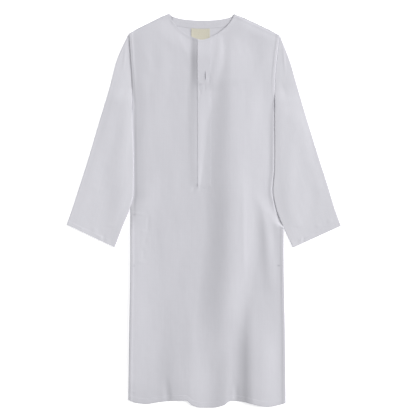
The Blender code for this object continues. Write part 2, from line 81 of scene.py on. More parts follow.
# Front opening, its two plackets, the buttonhole and the button
SLOT_RIGHT = -0.0110
SLOT_LEFT = 0.0120
SLOT_END = 0.0850
PLACKET_FREE_EDGE = -0.0202
PLACKET_STITCHED_EDGE = 0.0225
PLACKET_END = 0.0700
PLACKET_WALL = 0.0004
PLACKET_THIN = 0.0003
PLACKET_LIFT = 0.0001
PLACKET_LEVEL_TO = -0.0165
PLACKET_GAPE = 0.0001
GAPE_FROM = 0.28
GAPE_RUN = 0.14
PLACKET_LINE = 0.0022
PLACKET_LINE_TOP = 0.5250
PLACKET_TACK = ((-0.0125, 0.3925), (-0.0045, 0.3925))
LIP_RISE = 0.00022
LIP_WIDTH = 0.0040
UNDER_PLACKET_EDGE = -0.0300
UNDER_PLACKET_REACH = 0.0085
UNDER_PLACKET_SAG = 0.0014
SLIT_X = (0.0042, 0.0050)
SLIT_Y = (0.4060, 0.4290)
SLIT_LIP = 0.0017
SLIT_END_LIP = 0.0010

# Neck facing, label and pocket bags
FACING_WIDTH = 0.0250
FACING_END = 0.90
FACING_LINES = (0.0020, 0.0105, 0.0185)
LABEL_SIZE = (0.0580, 0.0420)
LABEL_MIDDLE_X = -0.0105
POCKET_HEIGHT = 0.1550
POCKET_WIDTH = 0.0420
POCKET_TOP = -0.0280
POCKET_INSET = 0.0240
POCKET_CORNER = 0.0120
POCKET_SEAM = 0.006

# Seams and hems, measured in from an edge
FELL_WIDTH = 0.0092
FELL_LINE = FELL_WIDTH - 0.0013
OPENING_LINE = 0.0060
FELL_RISE = 0.00035
HEM_LINES = (0.0125, 0.0162)
HEM_RISE = 0.00030
NECK_BAND = 0.0062
NECK_LINE = NECK_BAND - 0.0012
NECK_RISE = 0.00025
CUFF_BAND = 0.0175
CUFF_LINE = CUFF_BAND - 0.0015
GROOVE_DEPTH = 0.00011
GROOVE_WIDTH = 0.0011
SIDE_GROOVE = 0.4
PUCKER_RISE = 0.00022
PUCKER_WIDTH = 0.006
PUCKER_PITCH = 0.011

# How the front swells from the back, and where the sleeves lie on the body's sides
LEVEL_FROM_X = 0.0000
LEVEL_TO_X = 0.1200
SIDE_PUFF = 0.0200
SHOULDER_RUN = 0.035
NECK_SINK = 0.0024
NECK_SINK_RUN = 0.055
HEM_SINK = 0.0025
HEM_SINK_RUN = 0.075
SLEEVE_WALL = 0.0005
SLEEVE_RADIUS = 0.0010
SLEEVE_SWELL = 0.0007
SLEEVE_SWELL_RUN = 0.12
SLEEVE_LIFT = 2 * LAYER
SLEEVE_CLEAR = 0.0090
SLEEVE_RAMP = 0.0900
LIFT_FROM_Y = 0.3850
LIFT_FULL_Y = 0.3350
ARMHOLE_FADE = 0.22
ARMHOLE_FADE_POWER = 1.5
FOLD_STAND_OFF = 0.0012
UNDER_RIGHT_SLEEVE = (0.005, 0.045)
UNDER_LEFT_SLEEVE = (-0.058, -0.034)
UNDER_SLEEVE_TOP = (0.320, 0.420)

# The body's outline, and where the front leaves the back
Section = namedtuple("Section", "y right_edge right_flat left_flat left_edge")
BODY_SECTIONS = (
    Section(0.5503, -0.2331, -0.2231, 0.2265, 0.2365),
    Section(0.4824, -0.2286, -0.2186, 0.2176, 0.2276),
    Section(0.3894, -0.2229, -0.2129, 0.2104, 0.2204),
    Section(0.3274, -0.2229, -0.2129, 0.2104, 0.2204),
    Section(0.27, -0.2285, -0.215, 0.213, 0.2485),
    Section(0.0949, -0.2291, -0.2125, 0.2115, 0.2485),
    Section(0.04, -0.2291, -0.214, 0.2115, 0.2485),
    Section(-0.0167, -0.2291, -0.2191, 0.229, 0.2485),
    Section(-0.0539, -0.2291, -0.2191, 0.2385, 0.2485),
    Section(-0.1221, -0.2288, -0.2188, 0.2386, 0.2486),
    Section(-0.4197, -0.2328, -0.2228, 0.243, 0.253),
    Section(-0.615, -0.2353, -0.2253, 0.2448, 0.2548),
)

# The front's hem hangs in three lobes
HemPoint = namedtuple("HemPoint", "x y")
FRONT_HEM = (
    HemPoint(-0.2353, -0.587),
    HemPoint(-0.2151, -0.596),
    HemPoint(-0.1779, -0.6008),
    HemPoint(-0.1407, -0.5952),
    HemPoint(-0.0849, -0.5899),
    HemPoint(-0.0555, -0.5899),
    HemPoint(-0.0384, -0.6036),
    HemPoint(-0.0105, -0.6119),
    HemPoint(0.0267, -0.6125),
    HemPoint(0.0639, -0.6039),
    HemPoint(0.0825, -0.5912),
    HemPoint(0.1104, -0.5924),
    HemPoint(0.1987, -0.6088),
    HemPoint(0.2406, -0.602),
    HemPoint(0.2548, -0.5971),
)
HEM_RUN = 0.16
NECK_RUN_FROM = 0.245

# Height of the front above its seams on the wearer's right and left, from the hem up, and
# the run over which it rises from the sides
Swell = namedtuple("Swell", "y right left run")
FRONT_SWELL = (
    Swell(-0.62, 0.0015, 0.0024, 0.014),
    Swell(-0.45, 0.002, 0.0034, 0.014),
    Swell(-0.08, 0.002, 0.0036, 0.014),
    Swell(0.07, 0.0034, 0.0036, 0.06),
    Swell(0.4, 0.0036, 0.0034, 0.07),
    Swell(0.62, 0.0032, 0.003, 0.05),
)

# A fold is a ridge along a path from its upper end to its lower one. "right" and "left"
# are its width to either side, and its slope is steepest half way down.
At = namedtuple("At", "y x rise right left")
Fold = namedtuple("Fold", "name path")
FRONT_FOLDS = (
    Fold("long fold", (
        At(0.63, 0.084, 0.0, 0.026, 0.04),
        At(0.55, 0.0856, 0.0003, 0.03, 0.05),
        At(0.467, 0.0887, 0.0018, 0.036, 0.08),
        At(0.374, 0.0856, 0.0046, 0.06, 0.1),
        At(0.281, 0.084, 0.0058, 0.075, 0.11),
        At(0.1414, 0.0825, 0.007, 0.082, 0.11),
        At(0.0019, 0.0865, 0.0082, 0.086, 0.1),
        At(-0.0911, 0.084, 0.0082, 0.086, 0.094),
        At(-0.2306, 0.0716, 0.0078, 0.088, 0.086),
        At(-0.3236, 0.0577, 0.0062, 0.085, 0.08),
        At(-0.4166, 0.0437, 0.0028, 0.075, 0.07),
        At(-0.5003, 0.0344, 0.0, 0.07, 0.07),
    )),
    Fold("placket fold", (
        At(0.63, -0.0172, 0.0, 0.026, 0.15),
        At(0.55, -0.0172, 0.0032, 0.026, 0.17),
        At(0.467, -0.0165, 0.0066, 0.027, 0.2),
        At(0.411, -0.0168, 0.0052, 0.028, 0.18),
        At(0.366, -0.018, 0.0026, 0.034, 0.08),
        At(0.281, -0.019, 0.0022, 0.036, 0.036),
        At(0.188, -0.0198, 0.0017, 0.034, 0.026),
        At(0.1, -0.0198, 0.0014, 0.03, 0.015),
        At(0.062, -0.0205, 0.0, 0.02, 0.01),
    )),
    Fold("lower left fold", (
        At(-0.25, 0.156, 0.0, 0.046, 0.08),
        At(-0.3236, 0.156, 0.002, 0.05, 0.088),
        At(-0.3701, 0.156, 0.0038, 0.054, 0.092),
        At(-0.4166, 0.156, 0.006, 0.054, 0.094),
        At(-0.4631, 0.156, 0.0074, 0.054, 0.096),
        At(-0.63, 0.1565, 0.0082, 0.054, 0.098),
    )),
    Fold("lower right fold", (
        At(-0.2461, -0.034, 0.0, 0.09, 0.07),
        At(-0.3236, -0.037, 0.0016, 0.1, 0.075),
        At(-0.4166, -0.042, 0.0034, 0.105, 0.08),
        At(-0.5096, -0.055, 0.0044, 0.105, 0.08),
        At(-0.63, -0.062, 0.005, 0.105, 0.085),
    )),
    Fold("left pocket fold", (
        At(0.0639, 0.1615, 0.0, 0.024, 0.026),
        At(-0.0105, 0.1832, 0.0012, 0.03, 0.028),
        At(-0.0508, 0.191, 0.0016, 0.034, 0.03),
        At(-0.1283, 0.1987, 0.0017, 0.034, 0.03),
        At(-0.2151, 0.2034, 0.0008, 0.03, 0.026),
        At(-0.2616, 0.205, 0.0, 0.026, 0.024),
    )),
    Fold("right pocket ridge", (
        At(0.085, -0.19, 0.0, 0.15, 0.06),
        At(0.02, -0.2, 0.0016, 0.15, 0.07),
        At(-0.06, -0.22, 0.0022, 0.15, 0.085),
        At(-0.23, -0.233, 0.0034, 0.15, 0.1),
        At(-0.4, -0.235, 0.003, 0.15, 0.104),
        At(-0.63, -0.235, 0.0012, 0.15, 0.104),
    )),
)

# The front's smaller creases, in the same form
FRONT_CREASES = (
    Fold("neck crease", (
        At(0.535, 0.048, 0.0003, 0.014, 0.016),
        At(0.49, 0.047, 0.0006, 0.018, 0.024),
        At(0.445, 0.038, 0.0006, 0.018, 0.026),
        At(0.405, 0.028, 0.0005, 0.014, 0.026),
        At(0.37, 0.026, 0.0, 0.012, 0.02),
    )),
    Fold("neck hollow", (
        At(0.55, 0.06, -0.0002, 0.012, 0.018),
        At(0.5, 0.064, -0.0004, 0.014, 0.018),
        At(0.42, 0.062, 0.0, 0.014, 0.018),
    )),
    Fold("lower left core", (
        At(-0.27, 0.138, 0.0, 0.012, 0.03),
        At(-0.34, 0.1365, 0.0004, 0.012, 0.034),
        At(-0.42, 0.1355, 0.0006, 0.012, 0.04),
        At(-0.63, 0.1345, 0.0008, 0.013, 0.04),
    )),
    Fold("left pocket core", (
        At(0.03, 0.174, 0.0, 0.01, 0.018),
        At(-0.03, 0.185, 0.0005, 0.013, 0.022),
        At(-0.0911, 0.193, 0.0006, 0.014, 0.024),
        At(-0.16, 0.196, 0.0003, 0.014, 0.024),
        At(-0.22, 0.1985, 0.0, 0.012, 0.02),
    )),
    Fold("right chest drape", (
        At(0.52, -0.125, 0.0, 0.03, 0.04),
        At(0.46, -0.13, 0.0007, 0.034, 0.04),
        At(0.36, -0.142, 0.0005, 0.03, 0.036),
        At(0.27, -0.15, 0.0, 0.026, 0.03),
    )),
    Fold("right armhole drape", (
        At(0.44, -0.198, 0.0, 0.012, 0.02),
        At(0.37, -0.19, 0.0003, 0.016, 0.026),
        At(0.24, -0.185, 0.0003, 0.018, 0.03),
        At(0.08, -0.18, 0.0, 0.014, 0.026),
    )),
    Fold("left armhole drape", (
        At(0.46, 0.198, 0.0, 0.018, 0.012),
        At(0.37, 0.193, -0.0003, 0.024, 0.014),
        At(0.22, 0.198, -0.0004, 0.024, 0.014),
        At(0.06, 0.202, 0.0, 0.02, 0.012),
    )),
    Fold("left chest drape", (
        At(0.5, 0.15, 0.0, 0.03, 0.034),
        At(0.39, 0.154, 0.0006, 0.03, 0.034),
        At(0.26, 0.15, 0.0, 0.026, 0.03),
    )),
    Fold("waist streak", (
        At(0.12, 0.123, 0.0, 0.01, 0.01),
        At(0.03, 0.1225, 0.0003, 0.012, 0.012),
        At(-0.13, 0.1235, 0.0004, 0.012, 0.012),
        At(-0.23, 0.126, 0.0, 0.01, 0.01),
    )),
    Fold("right waist drape", (
        At(0.04, -0.12, 0.0, 0.03, 0.04),
        At(-0.11, -0.118, 0.0006, 0.034, 0.046),
        At(-0.26, -0.115, 0.0, 0.03, 0.04),
    )),
    Fold("left hem drape", (
        At(-0.36, 0.075, 0.0, 0.026, 0.022),
        At(-0.5, 0.07, 0.0009, 0.034, 0.026),
        At(-0.63, 0.064, 0.0014, 0.04, 0.03),
    )),
    Fold("small hem crease", (
        At(-0.53, 0.099, 0.0, 0.01, 0.01),
        At(-0.575, 0.1, -0.0012, 0.012, 0.01),
        At(-0.61, 0.101, -0.0005, 0.012, 0.01),
    )),
    Fold("right hem notch", (
        At(-0.51, -0.118, 0.0, 0.016, 0.014),
        At(-0.575, -0.113, -0.0012, 0.018, 0.016),
        At(-0.62, -0.112, -0.0012, 0.018, 0.016),
    )),
    Fold("right side drape", (
        At(-0.2, -0.224, 0.0, 0.01, 0.04),
        At(-0.36, -0.226, 0.0008, 0.01, 0.05),
        At(-0.54, -0.227, 0.0004, 0.01, 0.05),
        At(-0.61, -0.228, 0.0, 0.01, 0.044),
    )),
    Fold("left side drape", (
        At(-0.2, 0.19, 0.0, 0.04, 0.06),
        At(-0.32, 0.195, 0.0005, 0.04, 0.06),
        At(-0.46, 0.195, 0.0005, 0.04, 0.056),
        At(-0.6, 0.195, 0.0002, 0.04, 0.056),
    )),
)

# The front rolls up a little beside each sleeve
RIGHT_SLEEVE_ROLL = Fold("right sleeve roll", (
    At(0.47, -0.212, 0.0, 0.01, 0.07),
    At(0.33, -0.2095, 0.0009, 0.01, 0.08),
    At(0.2, -0.2085, 0.0013, 0.01, 0.08),
    At(0.06, -0.208, 0.0013, 0.01, 0.08),
    At(-0.02, -0.213, 0.0005, 0.008, 0.07),
    At(-0.05, -0.215, 0.0, 0.006, 0.06),
))
LEFT_SLEEVE_ROLL = Fold("left sleeve roll", (
    At(0.35, 0.216, 0.0, 0.012, 0.004),
    At(0.29, 0.2165, 0.0014, 0.014, 0.004),
    At(0.1321, 0.2156, 0.002, 0.014, 0.004),
    At(0.0639, 0.2108, 0.002, 0.014, 0.004),
    At(0.0112, 0.219, 0.0016, 0.012, 0.004),
    At(-0.02, 0.23, 0.0, 0.01, 0.004),
))

# Creases that run across the body: a straight line with its own width and fade
Tuck = namedtuple("Tuck", "name x_start y_start x_end y_end rise wide fade")
FRONT_TUCKS = (
    Tuck("right pocket mouth", -0.224, -0.008, -0.174, -0.013, 0.0004, 0.004, 0.4),
    Tuck("right pocket tack", -0.199, -0.063, -0.18, -0.066, 0.0005, 0.0036, 0.5),
    Tuck("right pocket low", -0.216, -0.157, -0.18, -0.16, 0.0004, 0.0046, 0.5),
    Tuck("right pocket edge", -0.1705, -0.01, -0.1745, -0.072, -0.0005, 0.0036, 0.3),
    Tuck("right pocket middle edge", -0.1765, -0.074, -0.187, -0.11, -0.00038, 0.0034, 0.5),
    Tuck("right pocket low edge", -0.1885, -0.112, -0.187, -0.158, -0.00042, 0.0038, 0.4),
    Tuck("left pocket mouth", 0.19, -0.006, 0.223, -0.015, 0.00022, 0.0046, 0.45),
    Tuck("left tack pull", 0.218, -0.048, 0.238, -0.056, 0.00045, 0.0038, 0.5),
    Tuck("placket pull one", -0.0125, 0.386, -0.011, 0.35, -0.00034, 0.0028, 0.4),
    Tuck("placket pull two", 0.003, 0.398, 0.0035, 0.364, -0.0003, 0.0028, 0.4),
    Tuck("placket pull three", 0.019, 0.418, 0.015, 0.392, -0.0004, 0.003, 0.4),
    Tuck("placket tack swell", -0.019, 0.3915, -0.004, 0.393, 0.0004, 0.003, 0.4),
    Tuck("placket curl", -0.042, 0.06, -0.0165, 0.086, -0.0007, 0.0045, 0.4),
    Tuck("placket curl crest", -0.034, 0.054, -0.01, 0.072, 0.0005, 0.0045, 0.4),
    Tuck("right shoulder pull", -0.205, 0.515, -0.15, 0.43, 0.0003, 0.01, 0.45),
    Tuck("left shoulder pull", 0.208, 0.51, 0.156, 0.42, 0.0003, 0.01, 0.45),
    Tuck("right chest pull", -0.2, 0.47, -0.135, 0.4, 0.00028, 0.01, 0.45),
    Tuck("right neck pull", -0.09, 0.565, -0.048, 0.47, 0.0003, 0.009, 0.45),
    Tuck("left neck pull", 0.09, 0.55, 0.11, 0.47, 0.0003, 0.009, 0.45),
)

# Sleeve sections from the armhole to the cuff, each from its outer fold to its inner one
Ring = namedtuple("Ring", "outer_x outer_y inner_x inner_y")
RIGHT_SLEEVE = (
    Ring(-0.2335, 0.549, -0.2232, 0.2995),
    Ring(-0.2712, 0.4653, -0.222, 0.2561),
    Ring(-0.2942, 0.3785, -0.2198, 0.2127),
    Ring(-0.328, 0.2669, -0.2185, 0.1321),
    Ring(-0.3611, 0.1553, -0.2189, 0.0639),
    Ring(-0.385, 0.0809, -0.2285, 0.0112),
    Ring(-0.4092, 0.0065, -0.2554, -0.058),
    Ring(-0.4266, -0.0437, -0.2768, -0.1147),
)
LEFT_SLEEVE = (
    Ring(0.2369, 0.543, 0.2213, 0.3026),
    Ring(0.2669, 0.4653, 0.2204, 0.2561),
    Ring(0.2923, 0.3785, 0.2204, 0.2127),
    Ring(0.3255, 0.2669, 0.2198, 0.1321),
    Ring(0.3602, 0.1553, 0.2148, 0.0639),
    Ring(0.3841, 0.0809, 0.2232, 0.0112),
    Ring(0.4067, 0.0065, 0.2489, -0.057),
    Ring(0.4262, -0.0471, 0.2759, -0.1153),
)
RIGHT_SLEEVE_FOLDS = (
    Fold("inner drape", (
        At(0.36, -0.245, 0.0, 0.024, 0.018),
        At(0.2, -0.248, 0.0004, 0.036, 0.03),
        At(0.06, -0.256, 0.0005, 0.04, 0.034),
        At(-0.05, -0.29, 0.0003, 0.03, 0.024),
    )),
    Fold("outer drape", (
        At(0.43, -0.27, 0.0, 0.02, 0.024),
        At(0.26, -0.302, 0.0006, 0.03, 0.04),
        At(0.09, -0.352, 0.0005, 0.032, 0.042),
        At(0.0, -0.38, 0.0, 0.024, 0.03),
    )),
    Fold("cap pleat", (
        At(0.535, -0.24, 0.0, 0.004, 0.005),
        At(0.495, -0.244, 0.0007, 0.007, 0.007),
        At(0.43, -0.252, 0.0, 0.006, 0.008),
    )),
)
LEFT_SLEEVE_FOLDS = (
    Fold("inner drape", (
        At(0.36, 0.242, 0.0, 0.018, 0.026),
        At(0.2, 0.246, 0.0004, 0.03, 0.036),
        At(0.05, 0.254, 0.0005, 0.034, 0.04),
        At(-0.05, 0.288, 0.0003, 0.024, 0.03),
    )),
    Fold("outer drape", (
        At(0.44, 0.265, 0.0, 0.024, 0.018),
        At(0.27, 0.3, 0.0005, 0.04, 0.03),
        At(0.11, 0.345, 0.0006, 0.042, 0.034),
        At(0.01, 0.378, 0.0, 0.03, 0.024),
    )),
    Fold("cap pleat", (
        At(0.53, 0.244, 0.0, 0.005, 0.004),
        At(0.495, 0.247, 0.0007, 0.007, 0.007),
        At(0.42, 0.254, 0.0, 0.008, 0.006),
    )),
)
RIGHT_SLEEVE_TUCKS = (
    Tuck("cuff puff one", -0.342, -0.045, -0.338, -0.078, 0.0005, 0.0065, 0.5),
    Tuck("cuff puff two", -0.323, -0.07, -0.318, -0.096, 0.0004, 0.005, 0.5),
    Tuck("cuff valley", -0.313, -0.07, -0.311, -0.112, -0.0006, 0.005, 0.4),
    Tuck("cuff corner", -0.298, -0.09, -0.278, -0.106, -0.0005, 0.005, 0.4),
    Tuck("cuff ripple one", -0.405, -0.04, -0.408, -0.056, 0.00026, 0.0048, 0.5),
    Tuck("cuff ripple two", -0.378, -0.05, -0.38, -0.068, 0.00034, 0.0042, 0.5),
    Tuck("elbow pull", -0.333, 0.174, -0.27, 0.118, 0.00025, 0.013, 0.5),
    Tuck("lower elbow pull", -0.36, 0.085, -0.305, 0.052, 0.0002, 0.01, 0.5),
    Tuck("armpit pull", -0.235, 0.41, -0.26, 0.33, -0.0003, 0.008, 0.4),
)
LEFT_SLEEVE_TUCKS = (
    Tuck("cuff puff one", 0.352, -0.038, 0.356, -0.056, 0.00045, 0.0056, 0.5),
    Tuck("cuff puff two", 0.39, -0.02, 0.392, -0.044, 0.0005, 0.006, 0.5),
    Tuck("cuff valley", 0.311, -0.075, 0.309, -0.108, -0.0006, 0.005, 0.4),
    Tuck("cuff corner", 0.298, -0.09, 0.278, -0.108, -0.0005, 0.005, 0.4),
    Tuck("cuff ripple one", 0.334, -0.068, 0.335, -0.088, 0.00032, 0.0042, 0.5),
    Tuck("cuff ripple two", 0.411, -0.036, 0.413, -0.052, 0.00024, 0.0042, 0.5),
    Tuck("elbow pull", 0.335, 0.182, 0.272, 0.135, 0.00022, 0.013, 0.5),
    Tuck("lower elbow pull", 0.365, 0.088, 0.305, 0.06, 0.00024, 0.01, 0.5),
    Tuck("armpit pull", 0.235, 0.42, 0.258, 0.335, -0.0003, 0.008, 0.4),
)

# The back's low folds, lifted a little off the surface
BACK_FOLDS = (
    Fold("middle fold", (
        At(0.42, 0.03, 0.0, 0.03, 0.03),
        At(0.15, 0.018, 0.0012, 0.036, 0.04),
        At(-0.25, 0.0, 0.0014, 0.04, 0.04),
        At(-0.59, -0.008, 0.002, 0.04, 0.044),
    )),
    Fold("right fold", (
        At(0.25, -0.1, 0.0, 0.026, 0.03),
        At(-0.15, -0.108, 0.0012, 0.03, 0.034),
        At(-0.59, -0.112, 0.0016, 0.034, 0.034),
    )),
    Fold("left fold", (
        At(0.15, 0.105, 0.0, 0.028, 0.026),
        At(-0.2, 0.115, 0.001, 0.03, 0.03),
        At(-0.59, 0.12, 0.0018, 0.034, 0.03),
    )),
)

# Runs of side stitching, between two levels and set in from the edge, and bar tacks
SeamRun = namedtuple("SeamRun", "low high inset")
SIDE_RUNS = (
    SeamRun(-0.586, -0.174, FELL_LINE),
    SeamRun(-0.169, -0.056, OPENING_LINE),
    SeamRun(0.31, 0.53, FELL_LINE),
)
RIGHT_POCKET_RUN = SeamRun(-0.053, -0.011, OPENING_LINE)
HEM_STITCHES = (-0.2315, 0.2510)
Bar = namedtuple("Bar", "name start end")
FRONT_BARS = (
    Bar("right pocket top", (-0.2205, -0.01), (-0.212, -0.011)),
    Bar("right pocket foot", (-0.2205, -0.17), (-0.212, -0.171)),
    Bar("left pocket top", (0.24, -0.053), (0.247, -0.0545)),
    Bar("left pocket foot", (0.229, -0.17), (0.2375, -0.171)),
    Bar("hem mend", (-0.2185, -0.564), (-0.212, -0.565)),
)

# Mesh density
BODY_STEP = 0.0038
BACK_STEP = 0.0075
SLEEVE_ROWS = 150
SLEEVE_ACROSS = 44
SLEEVE_UNDER = 20
FOLD_ARC_STEPS = 8
OUTWARD = (0.05, 0.13, 0.26, 0.45, 0.70, 0.86, 0.94, 1.0)
NEAR_EDGE = (0.0, 0.0008, 0.0018, 0.0032, 0.0048, 0.0060, 0.0072, 0.0092)
NEAR_HEM = (0.0, 0.0008, 0.0020, 0.0045, 0.0080, 0.0110, 0.0125, 0.0140, 0.0162, 0.0176, 0.0195, 0.0225)
NEAR_ARMHOLE = (0.0, 0.0012, 0.003, 0.006, 0.010)
NEAR_CUFF = (0.042, 0.037, 0.033, 0.0295, 0.0265, 0.023, 0.018, 0.013, 0.008, 0.004, 0.0015, 0.0)

# Picture: the photograph is 416 pixels square at 3.1 mm a pixel on the robe
PICTURE_WIDTH = 416 * 0.0031
PICTURE_MIDDLE = (0.0127, 0.0081)
PICTURE_LEVEL = 0.008
LENS = 85.0
SENSOR = 36.0


def smooth(stations, values, at):
    """A monotone cubic through the values at rising stations."""
    stations = np.asarray(stations, float)
    values = np.asarray(values, float)
    step = np.diff(stations)
    rise = np.diff(values) / step
    slope = np.zeros(len(stations))
    slope[0], slope[-1] = rise[0], rise[-1]
    for i in range(1, len(rise)):
        if rise[i - 1] * rise[i] > 0:
            slope[i] = 2 * rise[i - 1] * rise[i] / (rise[i - 1] + rise[i])
    at = np.clip(np.asarray(at, float), stations[0], stations[-1])
    k = np.clip(np.searchsorted(stations, at) - 1, 0, len(step) - 1)
    t = (at - stations[k]) / step[k]
    start = (2 * t**3 - 3 * t**2 + 1) * values[k] + (t**3 - 2 * t**2 + t) * step[k] * slope[k]
    end = (3 * t**2 - 2 * t**3) * values[k + 1] + (t**3 - t**2) * step[k] * slope[k + 1]
    return start + end


def column(rows, name):
    return [getattr(row, name) for row in rows]


def body_line(name, y):
    """X of one of the body's outlines at a level."""
    rows = BODY_SECTIONS[::-1]
    return smooth(column(rows, "y"), column(rows, name), y)


def inside_by(line, x, y):
    """Distance in from the nearer of the body's two outlines of one kind."""
    return np.minimum(x - body_line("right_" + line, y), body_line("left_" + line, y) - x)


def edge_of(side):
    """The body's edge beside a sleeve or a pocket: 1 is the wearer's left, -1 the right."""
    return "left_edge" if side > 0 else "right_edge"


def ease_in(t):
    """0 to 1, quick at first."""
    t = np.clip(t, 0.0, 1.0)
    return 1.0 - (1.0 - t) ** 2


def ease(t):
    """0 to 1, soft at both ends."""
    t = np.clip(t, 0.0, 1.0)
    return t * t * (3.0 - 2.0 * t)


def round_over(t):
    """0 to 1 along a quarter of a circle."""
    t = np.clip(t, 0.0, 1.0)
    return np.sqrt(np.maximum(1.0 - (1.0 - t) ** 2, 0.0))


def front_hem(x):
    return smooth(column(FRONT_HEM, "x"), column(FRONT_HEM, "y"), x)


def back_hem(x):
    return np.full_like(np.asarray(x, float), HEM_LEVEL)


def neck_curve(x, drop, power):
    """Y of a neckline between the two neck points."""
    off = np.clip(np.abs(x - NECK_MIDDLE) / NECK_HALF, 0.0, 1.0)
    level = np.interp(x, (RIGHT_NECK[0], LEFT_NECK[0]), (RIGHT_NECK[1], LEFT_NECK[1]))
    return level - drop * (1.0 - off**power) ** (1.0 / power)


def shoulder_seam(x, start, end):
    """Y of a shoulder seam, bowed up a little at its middle."""
    t = (x - start[0]) / (end[0] - start[0])
    bow = SHOULDER_BOW * 4 * np.clip(t, 0, 1) * (1 - np.clip(t, 0, 1))
    return start[1] + (end[1] - start[1]) * t + bow


def top_edge(x, drop, power):
    """Y of a panel's top: shoulder seam, neckline, shoulder seam."""
    right = shoulder_seam(x, RIGHT_TIP, RIGHT_NECK)
    left = shoulder_seam(x, LEFT_NECK, LEFT_TIP)
    neck = neck_curve(x, drop, power)
    return np.where(x < RIGHT_NECK[0], right, np.where(x > LEFT_NECK[0], left, neck))


def front_top_edge(x):
    return top_edge(x, FRONT_NECK_DROP, FRONT_NECK_POWER)


def back_top_edge(x):
    return top_edge(x, BACK_NECK_DROP, BACK_NECK_POWER)


def distance_to_run(x, y, start, end):
    """Distance to a straight run, in plan."""
    run = np.array(end) - np.array(start)
    t = np.clip(((x - start[0]) * run[0] + (y - start[1]) * run[1]) / run.dot(run), 0.0, 1.0)
    return np.hypot(x - start[0] - t * run[0], y - start[1] - t * run[1])


def distance_to_neck(x, y):
    """Distance to the front's neckline, in plan, and far away below the chest."""
    stations = np.linspace(RIGHT_NECK[0], LEFT_NECK[0], 161)
    line = np.column_stack([stations, neck_curve(stations, FRONT_NECK_DROP, FRONT_NECK_POWER)])
    distance = np.full(np.shape(x), 1.0)
    near = (y > 0.46) & (np.abs(x) < 0.16)
    if np.any(near):
        apart = np.hypot(x[near][:, None] - line[:, 0], y[near][:, None] - line[:, 1])
        distance[near] = apart.min(axis=1)
    return distance


def fold_rise(fold, x, y):
    """Height that one fold adds at a place in plan."""
    rows = fold.path[::-1]
    levels = column(rows, "y")
    crest, rise, right, left = (smooth(levels, column(rows, name), y) for name in At._fields[1:])
    off = x - crest
    width = np.where(off < 0, right, left)
    inside = (y >= levels[0]) & (y <= levels[-1])
    across = 0.5 * (1 + np.cos(math.pi * np.clip(np.abs(off) / width, 0.0, 1.0)))
    return np.where(inside, rise * across, 0.0)


def added(forms, rise_of, x, y):
    """Height that several folds or creases add together."""
    return sum(rise_of(form, x, y) for form in forms)


def soft_line(distance, rise, width):
    """Height of a soft ridge, or of a hollow, at a distance from its middle."""
    return rise * np.exp(-((distance / width) ** 2))


def edge_drop(rim, drop, run):
    """How far a cloth's face rounds down near its edge."""
    return drop * (1.0 - round_over(rim / run))


def tuck_rise(tuck, x, y):
    """Height that one straight crease adds at a place in plan."""
    run = np.array([tuck.x_end - tuck.x_start, tuck.y_end - tuck.y_start])
    length = float(np.hypot(*run))
    run = run / length
    along = ((x - tuck.x_start) * run[0] + (y - tuck.y_start) * run[1]) / length
    off = (x - tuck.x_start) * run[1] - (y - tuck.y_start) * run[0]
    ends = ease(along / tuck.fade) * ease((1 - along) / tuck.fade)
    return soft_line(off, tuck.rise, tuck.wide) * ends


def waver(x, y, size, seed):
    """Smooth uneven waves of about unit height, "size" metres apart."""
    turns = np.random.default_rng(seed)
    total = np.zeros(np.shape(x))
    for _ in range(7):
        angle = turns.uniform(0, math.pi)
        stretch = turns.uniform(0.7, 1.5)
        phase = turns.uniform(0, 2 * math.pi)
        bend = turns.uniform(0.5, 1.5)
        along = (x * math.cos(angle) + y * math.sin(angle)) / (size * stretch)
        across = (y * math.cos(angle) - x * math.sin(angle)) / (size * 2.3)
        sway = bend * np.sin(2 * math.pi * across + 2 * phase)
        total += np.sin(2 * math.pi * along + phase + sway)
    return total / 7


def undulation(x, y, seed):
    """The cloth's own unevenness: broad waves longer than wide, and small ones."""
    broad = waver(x, 0.35 * y, 0.060, seed) * 0.00032
    small = waver(x, 0.55 * y, 0.022, seed + 1) * 0.00007
    return broad + small


def pucker(along, distance, line, seed):
    """Small ripples across a line of stitching."""
    ripple = waver(along, np.zeros(np.shape(along)), PUCKER_PITCH, seed)
    return soft_line(distance - line, PUCKER_RISE * ripple, PUCKER_WIDTH)


def groove(distance, line):
    """The hollow that a line of stitching pulls into the cloth."""
    return soft_line(distance - line, -GROOVE_DEPTH, GROOVE_WIDTH)


def band(distance, width, rise):
    """A turned or felled strip along an edge, which ends in a small step."""
    return rise * (1.0 - ease((distance - width) / 0.0016))


def side_hold(x, y, puff=0.0):
    """0 at the side and shoulder seams, to 1 where the front is free of them."""
    across = inside_by("flat", x, y) + puff
    held = ease_in(across / smooth(column(FRONT_SWELL, "y"), column(FRONT_SWELL, "run"), y))
    held = held * ease_in(distance_to_run(x, y, RIGHT_TIP, RIGHT_NECK) / SHOULDER_RUN)
    return held * ease_in(distance_to_run(x, y, LEFT_NECK, LEFT_TIP) / SHOULDER_RUN)


def front_form(x, y, puff=0.0):
    """Height of the front panel's underside. A puff frees its sides nearer to their seams."""
    levels = column(FRONT_SWELL, "y")
    right = smooth(levels, column(FRONT_SWELL, "right"), y)
    left = smooth(levels, column(FRONT_SWELL, "left"), y)
    swell = right + (left - right) * ease((x - LEVEL_FROM_X) / (LEVEL_TO_X - LEVEL_FROM_X))
    rise = added(FRONT_FOLDS, fold_rise, x, y)
    return LAYER + (swell + rise) * side_hold(x, y, puff)


